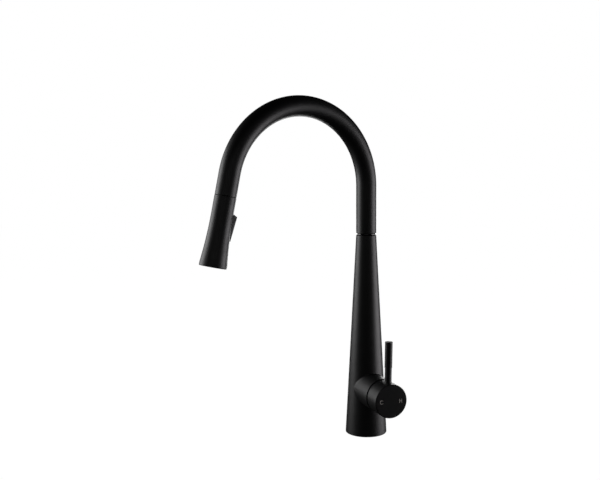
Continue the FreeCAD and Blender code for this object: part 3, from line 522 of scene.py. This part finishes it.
def moulded_black():
    finish = Finish("moulded_black_plastic", (0.03, 0.03, 0.032), 0.45, IOR=1.46)
    finish.vary_roughness(160, 0.05)
    finish.vary_colour(220, 0.12)
    finish.bump(finish.noise(2600, 3), 0.00001)
    return finish.material


def polished_black():
    """Glossy black ring with faint moulding flow lines."""
    finish = Finish("gloss_black_ring", (0.008, 0.008, 0.009), 0.12, IOR=1.5, Coat_Weight=0.6)
    finish.vary_roughness(300, 0.03)
    finish.vary_colour(260, 0.1)
    finish.bump(finish.noise(900, 2), 0.000004)
    return finish.material


def turned_metal(name, colour, roughness, stretch):
    """Metal with fine turning marks across the given stretch of the pattern."""
    finish = Finish(name, colour, roughness, Metallic=1.0)
    mapping = finish.node("ShaderNodeMapping")
    mapping.inputs["Scale"].default_value = stretch
    finish.link(finish.place, mapping.inputs["Vector"])
    finish.vary_roughness(120, 0.06)
    finish.vary_colour(60, 0.08)
    finish.bump(finish.noise(1500, 2, mapping.outputs["Vector"]), 0.000008)
    return finish.material


def rubber():
    finish = Finish("black_rubber", (0.014, 0.014, 0.014), 0.72, IOR=1.45)
    finish.vary_roughness(200, 0.06)
    finish.vary_colour(300, 0.15)
    finish.bump(finish.noise(3200, 3), 0.000014)
    return finish.material


def fine_grain(name, colour, roughness, grain):
    finish = Finish(name, colour, roughness)
    finish.vary_roughness(180, 0.05)
    finish.vary_colour(500, 0.06)
    finish.bump(finish.noise(grain, 4), 0.000008)
    return finish.material


def helical_strands(finish, along, angle, sign):
    """Ridges of one set of strands, wound one way or the other."""
    helix = finish.node("ShaderNodeMath", operation="MULTIPLY_ADD")
    finish.link(along, helix.inputs[0])
    helix.inputs[1].default_value = sign * STRAND_SLOPE
    finish.link(angle, helix.inputs[2])
    many = finish.node("ShaderNodeMath", operation="MULTIPLY")
    finish.link(helix.outputs[0], many.inputs[0])
    many.inputs[1].default_value = STRANDS
    wave = finish.node("ShaderNodeMath", operation="COSINE")
    finish.link(many.outputs[0], wave.inputs[0])
    return wave.outputs[0]


def braided_nylon():
    """Black nylon braid: two crossing helical sets of strands about the outlet's axis."""
    finish = Finish("braided_nylon", (0.022, 0.022, 0.024), 0.55, IOR=1.5)
    turn = finish.node("ShaderNodeMapping", vector_type="TEXTURE")
    upright = OUTLET_FRAME.copy()
    turn.inputs["Location"].default_value = upright.translation
    turn.inputs["Rotation"].default_value = upright.to_euler()
    finish.link(finish.place, turn.inputs["Vector"])
    parts = finish.node("ShaderNodeSeparateXYZ")
    finish.link(turn.outputs["Vector"], parts.inputs["Vector"])
    angle = finish.node("ShaderNodeMath", operation="ARCTAN2")
    finish.link(parts.outputs["Y"], angle.inputs[0])
    finish.link(parts.outputs["X"], angle.inputs[1])
    weave = finish.node("ShaderNodeMath", operation="MAXIMUM")
    for index, sign in enumerate((-1, 1)):
        strands = helical_strands(finish, parts.outputs["Z"], angle.outputs[0], sign)
        finish.link(strands, weave.inputs[index])
    finish.vary_colour(900, 0.5)
    finish.vary_roughness(400, 0.06)
    finish.bump(weave.outputs[0], 0.0002, 0.8)
    return finish.material


MATERIALS = {
    "black_finish": powder_coat(),
    "black_plastic": moulded_black(),
    "gloss_ring": polished_black(),
    "brass": turned_metal("turned_brass", (0.72, 0.5, 0.22), 0.28, (1, 1, 8)),
    "steel": turned_metal("turned_steel", (0.55, 0.55, 0.54), 0.3, (1, 1, 8)),
    "rubber": rubber(),
    "ceramic_disc": fine_grain("sintered_ceramic", (0.78, 0.76, 0.72), 0.3, 1800),
    "grey_plastic": fine_grain("grey_plastic", (0.24, 0.25, 0.26), 0.45, 2400),
    "ferrite": fine_grain("ferrite_magnet", (0.06, 0.058, 0.056), 0.6, 3000),
    "hose_braid": braided_nylon(),
    "face_print": fine_grain("printed_mark", (0.65, 0.62, 0.57), 0.5, 2600),
}


def dress_cad_nodes():
    for part in frame["record"]["subparts"]:
        mesh = frame["nodes"][part["node"]].data
        mesh.materials.clear()
        mesh.materials.append(MATERIALS[part["material_slot"]])


# --- column ---


def cone_radius(height):
    return BASE_RADIUS - (BASE_RADIUS - SPOUT_RADIUS) * height / COLUMN_TOP_Z


def hollow_radius(height):
    return cone_radius(height) - COLUMN_WALL


def boss_fillet(direction):
    """Rolling-ball centre at a direction round the boss, with the ball's way to the boss and to the cone."""
    slope = (BASE_RADIUS - SPOUT_RADIUS) / COLUMN_TOP_Z
    lean = math.hypot(1, slope)
    reach = BOSS_RADIUS + BOSS_FILLET
    across, height = reach * math.cos(direction), HANDLE_Z + reach * math.sin(direction)
    out = math.sqrt((cone_radius(height) + BOSS_FILLET * lean) ** 2 - across ** 2)
    to_boss = Vector((0, -math.cos(direction), -math.sin(direction)))
    to_cone = -Vector((out, across, slope * math.hypot(out, across))).normalized()
    return Vector((out, across, height)), to_boss, to_cone


def boss_edge(direction):
    """Where the boss's fillet meets the cone."""
    if direction is None:
        return HANDLE_Z
    centre, _, to_cone = boss_fillet(direction)
    spot = centre + to_cone * BOSS_FILLET
    return math.atan2(spot.y, spot.x), spot.z


def bore_edge(direction):
    """Where the boss's bore meets the column's hollow."""
    if direction is None:
        return HANDLE_Z
    _, across, height = boss_point(BOSS_BORE_RADIUS, 0, direction)
    return math.asin(across / hollow_radius(height)), height


def boss_point(radius, out, direction):
    """Point round the boss's axis, at a distance out along it."""
    return out, radius * math.cos(direction), HANDLE_Z + radius * math.sin(direction)


def boss_loops(shell, edge, directions):
    """Loops from the fillet's edge on the cone, along the boss, round its rim and into its bore."""
    loops = [edge]
    fillets = [boss_fillet(direction) for direction in directions]
    for step in range(1, FILLET_STEPS + 2):
        share = step / (FILLET_STEPS + 1)
        points = []
        for centre, to_boss, to_cone in fillets:
            points.append(tuple(centre + to_cone.slerp(to_boss, share) * BOSS_FILLET))
        loops.append(shell.loop(points))
    for share in BOSS_SHARES:
        points = []
        for direction, (centre, _, _) in zip(directions, fillets):
            out = centre.x + (BOSS_RIM_X - centre.x) * share
            points.append(boss_point(BOSS_RADIUS, out, direction))
        loops.append(shell.loop(points))
    support_x = BOSS_RIM_X - BOSS_RIM_SUPPORT
    rim = rounded([
        (BOSS_RADIUS, support_x), (BOSS_RADIUS, BOSS_RIM_X, BOSS_EDGE),
        (BOSS_BORE_RADIUS, BOSS_RIM_X, BOSS_EDGE / 2), (BOSS_BORE_RADIUS, support_x),
    ])
    for radius, out in rim:
        loops.append(shell.loop([boss_point(radius, out, direction) for direction in directions]))
    return loops


def column_foot(shell):
    """Loops from the hollow, down round the recess and the gasket's groove, and up outside."""
    gasket = high("base_gasket")
    groove_radius = gasket.x - GASKET_WIDTH
    band_low = BOSS_BAND[0]
    return shell.lathe(rounded([
        (hollow_radius(band_low), band_low), (hollow_radius(LIP_TOP_Z), LIP_TOP_Z), (LIP_RADIUS, LIP_TOP_Z),
        (LIP_RADIUS, RECESS_DEPTH), (RECESS_RADIUS, RECESS_DEPTH), (RECESS_RADIUS, 0, RECESS_EDGE),
        (groove_radius, 0), (groove_radius, gasket.z), (gasket.x, gasket.z), (gasket.x, 0),
        (BASE_RADIUS, 0, COLUMN_FOOT_EDGE), (cone_radius(band_low / 2), band_low / 2),
        (cone_radius(band_low), band_low),
    ]))


def column_top(shell):
    """Loops up outside, over the rim, down the swivel's bore and into the hollow."""
    band_high = BOSS_BAND[1]
    middle_z = (band_high + COLUMN_TOP_Z) / 2
    step_z = SWIVEL_BORE_Z - COLUMN_WALL
    return shell.lathe(rounded([
        (cone_radius(band_high), band_high), (cone_radius(middle_z), middle_z),
        (SPOUT_RADIUS, COLUMN_TOP_Z, COLUMN_TOP_EDGE),
        (SWIVEL_BORE_RADIUS, COLUMN_TOP_Z, COLUMN_TOP_EDGE / 2),
        (SWIVEL_BORE_RADIUS, SWIVEL_BORE_Z), (hollow_radius(step_z), step_z),
        (hollow_radius(band_high), band_high),
    ]))


def make_column():
    shell = Shell()
    foot, top = column_foot(shell), column_top(shell)
    aspect = (math.pi / 2, (BOSS_BAND[1] - BOSS_BAND[0]) / 2)
    outside = band(
        shell, foot[-1], top[0], BOSS_BAND, BOSS_BAND_ROWS, cone_radius, {0: boss_edge}, aspect)
    inside = band(
        shell, foot[0], top[-1], BOSS_BAND, BOSS_BAND_ROWS, hollow_radius, {0: bore_edge}, aspect)
    edge, directions = outside[0]
    shell.bridge_all(boss_loops(shell, edge, directions) + [inside[0][0]])
    make_piece("column_body", shell, ROW, "column", "black_finish", "column_shell")


def make_glide_ring():
    shell = Shell()
    bottom, top = RING_Z
    inner = RING_RADIUS - GLIDE_RING_WIDTH
    shell.lathe(rounded([
        (inner, bottom), (RING_RADIUS, bottom, GLIDE_RING_EDGE),
        (RING_RADIUS, top, GLIDE_RING_EDGE), (inner, top),
    ], closed=True), closed=True)
    make_piece("joint_ring", shell, ROW, "column", "gloss_ring", "swivel_glide_ring")


# --- spout and hose ---


def path_place(distance):
    """Centre and sideways axis of the gooseneck's section, a distance along it from the arch's start."""
    upright = Vector((0, 0, 1))
    start = upright * ARCH_START_Z
    turn = min(max(distance / ARCH_RADIUS, 0), ARCH_SWEEP)
    along = upright * math.cos(turn) + SPOUT_OUT * math.sin(turn)
    across = upright * math.sin(turn) - SPOUT_OUT * math.cos(turn)
    rest = distance - turn * ARCH_RADIUS
    return start + SPOUT_OUT * ARCH_RADIUS + across * ARCH_RADIUS + along * rest, across


ARCH_LENGTH = ARCH_SWEEP * ARCH_RADIUS
PATH_END = ARCH_LENGTH + OUTLET_LENGTH


def swept(shell, profile, around):
    """Closed tube wall whose (radius, distance) profile runs along the outside and back along the inside."""
    loops = []
    for radius, distance in profile:
        centre, across = path_place(distance)
        points = []
        for k in range(around):
            turn = 2 * math.pi * k / around
            spoke = across * math.cos(turn) + SPOUT_CROSS * math.sin(turn)
            points.append(tuple(centre + spoke * radius))
        loops.append(shell.loop(points))
    shell.bridge_all(loops + loops[:1])


def stations(start, end, count):
    """Distances that divide a stretch evenly, without its ends."""
    return [start + (end - start) * i / count for i in range(1, count)]


def tube_profile(outer, inner, start, end, edge, arch_steps):
    """Profile of a tube that follows the gooseneck from start to end, with rounded rims."""
    clear, support = SPOUT_RIM_CLEAR * edge, SPOUT_RIM_SUPPORT * edge
    arch = [0] + stations(0, ARCH_LENGTH, arch_steps) + [ARCH_LENGTH]
    along = [start + clear] + arch + [end - clear]
    outside = [(outer, distance) for distance in along]
    end_rim = rounded([
        (outer, end - support), (outer, end, edge), (inner, end, edge / 2), (inner, end - support),
    ])
    start_rim = rounded([
        (inner, start + support), (inner, start, edge / 2), (outer, start, edge), (outer, start + support),
    ])
    inside = [(inner, distance) for distance in reversed(along)]
    return outside + end_rim + inside + start_rim


def make_spout():
    shell = Shell()
    start = SPOUT_BOTTOM_Z - ARCH_START_Z
    inner = SPOUT_RADIUS - SPOUT_WALL
    profile = tube_profile(SPOUT_RADIUS, inner, start, PATH_END, SPOUT_EDGE, SPOUT_ARCH_STEPS)
    swept(shell, profile, SPOUT_AROUND)
    make_piece("gooseneck", shell, ROW, "spout", "black_finish", "spout_tube")


def hose_wall(along):
    """Hose's wall through the given distances along the gooseneck."""
    shell = Shell()
    profile = [(HOSE_RADIUS, distance) for distance in along]
    profile += [(HOSE_BORE_RADIUS, distance) for distance in reversed(along)]
    swept(shell, profile, HOSE_AROUND)
    return shell


def make_hose():
    """The run that stays in the column and arch, then the straight end that follows the head out."""
    start = low("pull_hose").z - ARCH_START_Z
    end = PATH_END - HOSE_END
    column_run = [start] + stations(start, 0, HOSE_COLUMN_STEPS)
    run = column_run + [0] + stations(0, ARCH_LENGTH, HOSE_ARCH_STEPS) + [ARCH_LENGTH]
    make_piece("hose_run", hose_wall(run), ROW, "spout", "hose_braid", "pull_hose")
    reach = [ARCH_LENGTH] + stations(ARCH_LENGTH, end, HOSE_REACH_STEPS) + [end]
    piece = make_piece("hose_reach", hose_wall(reach), ROW, None, "hose_braid", "pull_hose")
    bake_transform(piece)


# --- spray head ---


def flare_radius(s):
    """Outer radius of the head: straight, then a concave arc that is tangent to the straight part."""
    length = FLARE[1] - FLARE[0]
    growth = HEAD_FACE_RADIUS - HEAD_TOP_RADIUS
    arc_radius = (length ** 2 + growth ** 2) / (2 * growth)
    along = min(max(s - FLARE[0], 0), length)
    return HEAD_TOP_RADIUS + arc_radius - math.sqrt(arc_radius ** 2 - along ** 2)


def slot_spot(direction, grow, radius_at):
    """Edge of the toggle's slot, grown outward, in a direction from its middle, on a given surface."""
    middle = sum(SLOT) / 2
    if direction is None:
        return middle
    wide, tall = SLOT_HALF_WIDTH + grow, (SLOT[1] - SLOT[0]) / 2 + grow
    across, along = math.cos(direction), math.sin(direction)
    power = SLOT_SQUARENESS
    reach = (abs(across / wide) ** power + abs(along / tall) ** power) ** (-1 / power)
    s = middle + reach * along
    return math.asin(reach * across / radius_at(s)), s


def head_bore_radius(_):
    return HEAD_BORE_RADIUS


def slot_loops(shell, edge, directions):
    """Loops that round the slot's edge and go straight in."""
    loops = [edge]
    for grow, depth in eased(SLOT_EDGE):
        points = []
        for direction in directions:
            angle, s = slot_spot(direction, grow, flare_radius)
            radius = flare_radius(s)
            points.append((radius * math.cos(angle) - depth, radius * math.sin(angle), s))
        loops.append(shell.loop(points))
    return loops


def head_top(shell):
    """Loops up the bore, round the neck's clearance and down outside."""
    first = SLOT_BAND[0]
    return shell.lathe(rounded([
        (HEAD_BORE_RADIUS, first), (HEAD_BORE_RADIUS, HEAD_BORE[0]), (NECK_CLEARANCE_RADIUS, HEAD_BORE[0]),
        (NECK_CLEARANCE_RADIUS, HEAD_TOP), (HEAD_TOP_RADIUS, HEAD_TOP, HEAD_TOP_EDGE),
        (HEAD_TOP_RADIUS, first / 2), (HEAD_TOP_RADIUS, first),
    ]))


def head_bottom(shell):
    """Loops down the flare, round the face's rim and up the bore."""
    last = SLOT_BAND[1]
    flare = [(flare_radius(s), s) for s in [last] + stations(last, FLARE[1], FLARE_STEPS)]
    return shell.lathe(rounded(flare + [
        (HEAD_FACE_RADIUS, FLARE[1]), (HEAD_FACE_RADIUS, HEAD_LENGTH, HEAD_FACE_EDGE),
        (FACE_BORE_RADIUS, HEAD_LENGTH, HEAD_FACE_EDGE / 2), (FACE_BORE_RADIUS, FACE_BORE_TOP),
        (HEAD_BORE_RADIUS, HEAD_BORE[1]), (HEAD_BORE_RADIUS, last),
    ]))


def outer_slot(direction):
    return slot_spot(direction, SLOT_EDGE, flare_radius)


def inner_slot(direction):
    return slot_spot(direction, 0, head_bore_radius)


def make_head():
    shell = Shell()
    top, bottom = head_top(shell), head_bottom(shell)
    aspect = (1 / HEAD_TOP_RADIUS, 1)
    outside = band(
        shell, top[-1], bottom[0], SLOT_BAND, SLOT_BAND_ROWS, flare_radius, {0: outer_slot}, aspect)
    inside = band(
        shell, top[0], bottom[-1], SLOT_BAND, SLOT_BAND_ROWS, head_bore_radius, {0: inner_slot}, aspect)
    edge, directions = outside[0]
    shell.bridge_all(slot_loops(shell, edge, directions) + [inside[0][0]])
    make_piece("spray_head_body", shell, OUTLET_FRAME, "spray_head", "black_finish", "spray_head_shell")


def paddle_outline():
    """Side outline of the paddle and its hub as (u, s) points."""
    top_u = HEAD_TOP_RADIUS + TOGGLE_RISE
    end_u = flare_radius(TOGGLE_END) + TOGGLE_END_RISE
    pivot_u, pivot_s = TOGGLE_PIVOT
    outline = rounded([
        (TOGGLE_FLOOR, TOGGLE_HEEL), TOGGLE_SHOULDER, (top_u, TOGGLE_TOP, TOGGLE_TIP_EDGE),
        (end_u, TOGGLE_END, TOGGLE_TIP_EDGE), (TOGGLE_FLOOR, TOGGLE_END),
    ], closed=True)
    for step in range(HUB_STEPS + 1):
        turn = math.pi * (0.5 + step / HUB_STEPS)
        spot = (pivot_u + TOGGLE_HUB_RADIUS * math.cos(turn), pivot_s + TOGGLE_HUB_RADIUS * math.sin(turn))
        outline.append(spot)
    return outline


def arm_outline():
    """Side outline of the arm that reaches from the hub to the diverter."""
    pivot_u, pivot_s = TOGGLE_PIVOT
    neck_turn = math.asin(ARM_HALF_THICKNESS / ARM_TIP_RADIUS)
    outline = [(pivot_u, pivot_s + ARM_HALF_THICKNESS)]
    for step in range(ARM_STEPS + 1):
        turn = neck_turn + (2 * math.pi - 2 * neck_turn) * step / ARM_STEPS
        spot = (DIVERTER_U + ARM_TIP_RADIUS * math.cos(turn), pivot_s + ARM_TIP_RADIUS * math.sin(turn))
        outline.append(spot)
    outline.append((pivot_u, pivot_s - ARM_HALF_THICKNESS))
    return outline


def slab(shell, outline, middle, half_width, edge):
    """Flat part of the given side outline, as wide as stated across the head, with its edges rounded."""
    reach_u = max(abs(u - middle[0]) for u, _ in outline)
    reach_s = max(abs(s - middle[1]) for _, s in outline)
    loops = []
    for side in (-1, 1):
        for step in range(SLAB_STEPS + 1):
            turn = math.pi / 2 * (step / SLAB_STEPS if side < 0 else 1 - step / SLAB_STEPS)
            across = side * (half_width - edge + edge * math.cos(turn))
            inset = edge * (1 - math.sin(turn))
            points = []
            for u, s in outline:
                scaled_u = middle[0] + (u - middle[0]) * (1 - inset / reach_u)
                points.append((scaled_u, across, middle[1] + (s - middle[1]) * (1 - inset / reach_s)))
            loops.append(shell.loop(points))
    shell.bridge_all(loops)
    shell.cap(loops[0], (middle[0], -half_width, middle[1]))
    shell.cap(loops[-1], (middle[0], half_width, middle[1]))


def make_toggle():
    shell = Shell()
    slab(shell, paddle_outline(), (TOGGLE_MIDDLE, TOGGLE_PIVOT[1]), TOGGLE_HALF_WIDTH, TOGGLE_EDGE)
    slab(shell, arm_outline(), (DIVERTER_U, TOGGLE_PIVOT[1]), ARM_TIP_RADIUS, ARM_EDGE)
    make_piece("toggle_paddle", shell, OUTLET_FRAME, "toggle", "black_plastic", "spray_toggle")


def make_nozzles():
    shell = Shell()
    back, tip = NOZZLES
    for ring_radius, count in NOZZLE_RINGS:
        for index in range(count):
            turn = 2 * math.pi * index / count
            centre = (ring_radius * math.cos(turn), ring_radius * math.sin(turn))
            shell.lathe(rounded([
                (NOZZLE_RADIUS / 2, back), (NOZZLE_RADIUS, back), (NOZZLE_RADIUS, tip, NOZZLE_TIP_EDGE),
                (NOZZLE_RADIUS / 2, tip, NOZZLE_BORE_EDGE),
            ], closed=True), around=NOZZLE_AROUND, closed=True, centre=centre)
    make_piece("nozzle_tips", shell, OUTLET_FRAME, "spray_head", "rubber", "spray_nozzles")


# --- handle ---


def knob_radius(_):
    return KNOB_RADIUS


def cavity_radius(_):
    return KNOB_CAVITY_RADIUS


def round_hole(radius, height, surface_radius):
    """Edge of a round side hole in a surface, as a function of the direction from its middle."""
    def edge(direction):
        if direction is None:
            return height
        return math.asin(radius * math.cos(direction) / surface_radius), height + radius * math.sin(direction)
    return edge


def knob_holes(grow, surface_radius):
    """Edges of the plug's hole and the lever's hole, grown outward, in a surface."""
    holes = {}
    for side, (radius, height) in enumerate(KNOB_HOLES):
        holes[side] = round_hole(radius + grow, height, surface_radius)
    return holes


def hole_loops(shell, side, edge, directions):
    """Loops that round a hole's edge and go straight in."""
    radius, height = KNOB_HOLES[side]
    sign = 1 - 2 * side
    loops = [edge]
    for grow, depth in eased(KNOB_HOLE_EDGE):
        hole_radius = radius + grow
        points = []
        for direction in directions:
            across = hole_radius * math.cos(direction)
            out = math.sqrt(KNOB_RADIUS ** 2 - across ** 2) - depth
            points.append((sign * out, sign * across, height + hole_radius * math.sin(direction)))
        loops.append(shell.loop(points))
    return loops


def make_knob():
    shell = Shell()
    band_low, band_high = KNOB_BACK_X + KNOB_BAND_INSETS[0], KNOB_FRONT_X - KNOB_BAND_INSETS[1]
    cavity_x = KNOB_FRONT_X - KNOB_FACE_WALL
    inner_high = cavity_x - KNOB_CAVITY_EDGE
    rim = shell.lathe(rounded([
        (KNOB_CAVITY_RADIUS, band_low), (KNOB_CAVITY_RADIUS, KNOB_BACK_X, KNOB_MOUTH_EDGE),
        (KNOB_RADIUS, KNOB_BACK_X, KNOB_REAR_EDGE), (KNOB_RADIUS, band_low),
    ]))
    face = shell.lathe(rounded([
        (KNOB_RADIUS, band_high), (KNOB_RADIUS, KNOB_FRONT_X, KNOB_FRONT_EDGE),
        (KNOB_RADIUS / 2, KNOB_FRONT_X), (0, KNOB_FRONT_X),
    ]))
    back = shell.lathe([
        (KNOB_CAVITY_RADIUS, inner_high), (KNOB_CAVITY_RADIUS - KNOB_CAVITY_EDGE, cavity_x), (0, cavity_x),
    ])
    aspect = (1 / KNOB_RADIUS, 1)
    outer_holes, inner_holes = knob_holes(KNOB_HOLE_EDGE, KNOB_RADIUS), knob_holes(0, KNOB_CAVITY_RADIUS)
    outside = band(
        shell, rim[-1], face[0], (band_low, band_high), KNOB_BAND_ROWS, knob_radius, outer_holes, aspect)
    inside = band(
        shell, rim[0], back[0], (band_low, inner_high), KNOB_BAND_ROWS, cavity_radius, inner_holes, aspect)
    for side, (edge, directions) in outside.items():
        shell.bridge_all(hole_loops(shell, side, edge, directions) + [inside[side][0]])
    make_piece("knob_cap", shell, HANDLE_FRAME, "handle", "black_finish", "handle_knob")


def make_lever():
    stem = Shell()
    stem.lathe(rounded([
        (0, LEVER_FOOT), (LEVER_RADIUS, LEVER_FOOT), (LEVER_RADIUS, GRIP_BOTTOM, STEM_EDGE),
        (SPIGOT_RADIUS, GRIP_BOTTOM), (SPIGOT_RADIUS, SPIGOT_TOP), (0, SPIGOT_TOP),
    ]), around=LEVER_AROUND)
    make_piece("lever_rod", stem, LEVER_FRAME, "handle", "black_finish", "lever_stem")
    grip = Shell()
    grip.lathe(rounded([
        (0, SPIGOT_TOP), (SPIGOT_RADIUS, SPIGOT_TOP), (SPIGOT_RADIUS, GRIP_BOTTOM),
        (GRIP_RADIUS, GRIP_BOTTOM, GRIP_FOOT_EDGE), (GRIP_RADIUS, GRIP_TOP, GRIP_TOP_EDGE),
        (GRIP_RADIUS / 2, GRIP_TOP), (0, GRIP_TOP),
    ]), around=LEVER_AROUND)
    make_piece("lever_sleeve", grip, LEVER_FRAME, "handle", "black_finish", "lever_grip")


# --- stage ---


def aim(target, place):
    """Rotation that points an object's -Z from a place to a target."""
    return (Vector(target) - Vector(place)).to_track_quat("-Z", "Y")


def bearing_place(angle, distance, height):
    """Place at an angle clockwise from the camera's bearing, seen from above."""
    turn = math.radians(CAMERA_BEARING + angle)
    return Vector((distance * math.sin(turn), -distance * math.cos(turn), height))


def soft_light(name, angle, distance, height, size, power, colour=(1, 1, 1)):
    """Area light that faces the faucet and isn't seen by the camera."""
    data = bpy.data.lights.new(name, "AREA")
    data.shape = "RECTANGLE"
    data.size, data.size_y = size
    data.energy = power
    data.color = colour
    light = bpy.data.objects.new(name, data)
    light.location = bearing_place(angle, distance, height)
    light.rotation_euler = aim((0, 0, LIGHT_TARGET_Z), light.location).to_euler()
    light.visible_camera = False
    bpy.context.scene.collection.objects.link(light)


def make_lights():
    tint = (1.0, 0.97, 1.0)
    soft_light("left_softbox", angle=-98, distance=1.3, height=0.38, size=(1.05, 0.9), power=11)
    soft_light("right_softbox", angle=98, distance=1.3, height=0.1, size=(1.15, 0.85), power=9.8, colour=tint)
    soft_light("front_card", angle=0, distance=2.0, height=0.74, size=(2.4, 0.2), power=1.3)
    soft_light("rear_card", angle=180, distance=0.7, height=0.12, size=(0.45, 0.6), power=2.8)


def make_world():
    """Nearly dark surroundings that the camera sees as white."""
    world = bpy.data.worlds.new("studio")
    bpy.context.scene.world = world
    world.use_nodes = True
    nodes, links = world.node_tree.nodes, world.node_tree.links
    shown = nodes["Background"]
    shown.inputs["Color"].default_value = (1, 1, 1, 1)
    lit = nodes.new("ShaderNodeBackground")
    lit.inputs["Color"].default_value = (1, 1, 1, 1)
    lit.inputs["Strength"].default_value = WORLD_LIGHT
    ray = nodes.new("ShaderNodeLightPath")
    mix = nodes.new("ShaderNodeMixShader")
    links.new(ray.outputs["Is Camera Ray"], mix.inputs["Fac"])
    links.new(lit.outputs["Background"], mix.inputs[1])
    links.new(shown.outputs["Background"], mix.inputs[2])
    links.new(mix.outputs["Shader"], nodes["World Output"].inputs["Surface"])


def make_floor():
    """Pale floor that stays out of the satin black's reflections."""
    shell = Shell()
    sides = ((-1, -1), (1, -1), (1, 1), (-1, 1))
    corners = [(x * FLOOR_REACH, y * FLOOR_REACH, -FLOOR_DROP) for x, y in sides]
    shell.faces.append(tuple(shell.loop(corners)))
    mesh = bpy.data.meshes.new("floor")
    mesh.from_pydata(shell.points, [], shell.faces)
    mesh.transform(ROW)
    floor = bpy.data.objects.new("floor", mesh)
    bpy.context.scene.collection.objects.link(floor)
    finish = Finish("pale_floor", (0.02, 0.02, 0.02), 0.9, Specular_IOR_Level=0.0)
    finish.shader.inputs["Emission Color"].default_value = (1, 1, 1, 1)
    finish.shader.inputs["Emission Strength"].default_value = 1.0
    mesh.materials.append(finish.material)
    floor.visible_glossy = False
    floor.visible_diffuse = False
    floor.visible_shadow = False


def make_camera():
    data = bpy.data.cameras.new("viewer")
    data.lens = CAMERA_LENS
    data.sensor_width = SENSOR_WIDTH
    camera = bpy.data.objects.new("viewer", data)
    bpy.context.scene.collection.objects.link(camera)
    turn = math.radians(CAMERA_BEARING + CAMERA_YAW)
    pitch, roll = math.radians(CAMERA_PITCH), math.radians(CAMERA_ROLL)
    ahead = Vector((-math.sin(turn) * math.cos(pitch), math.cos(turn) * math.cos(pitch), -math.sin(pitch)))
    right = Vector((math.cos(turn), math.sin(turn), 0))
    up = right.cross(ahead)
    rolled_right = right * math.cos(roll) + up * math.sin(roll)
    rolled_up = up * math.cos(roll) - right * math.sin(roll)
    matrix = Matrix((rolled_right, rolled_up, -ahead)).transposed().to_4x4()
    matrix.translation = bearing_place(0, CAMERA_DISTANCE, CAMERA_HEIGHT)
    camera.matrix_world = matrix
    bpy.context.scene.camera = camera


make_camera()
make_world()
make_lights()
make_floor()
bpy.context.scene.view_settings.view_transform = "Standard"

dress_cad_nodes()
make_column()
make_glide_ring()
make_spout()
make_hose()
make_head()
make_toggle()
make_nozzles()
make_knob()
make_lever()
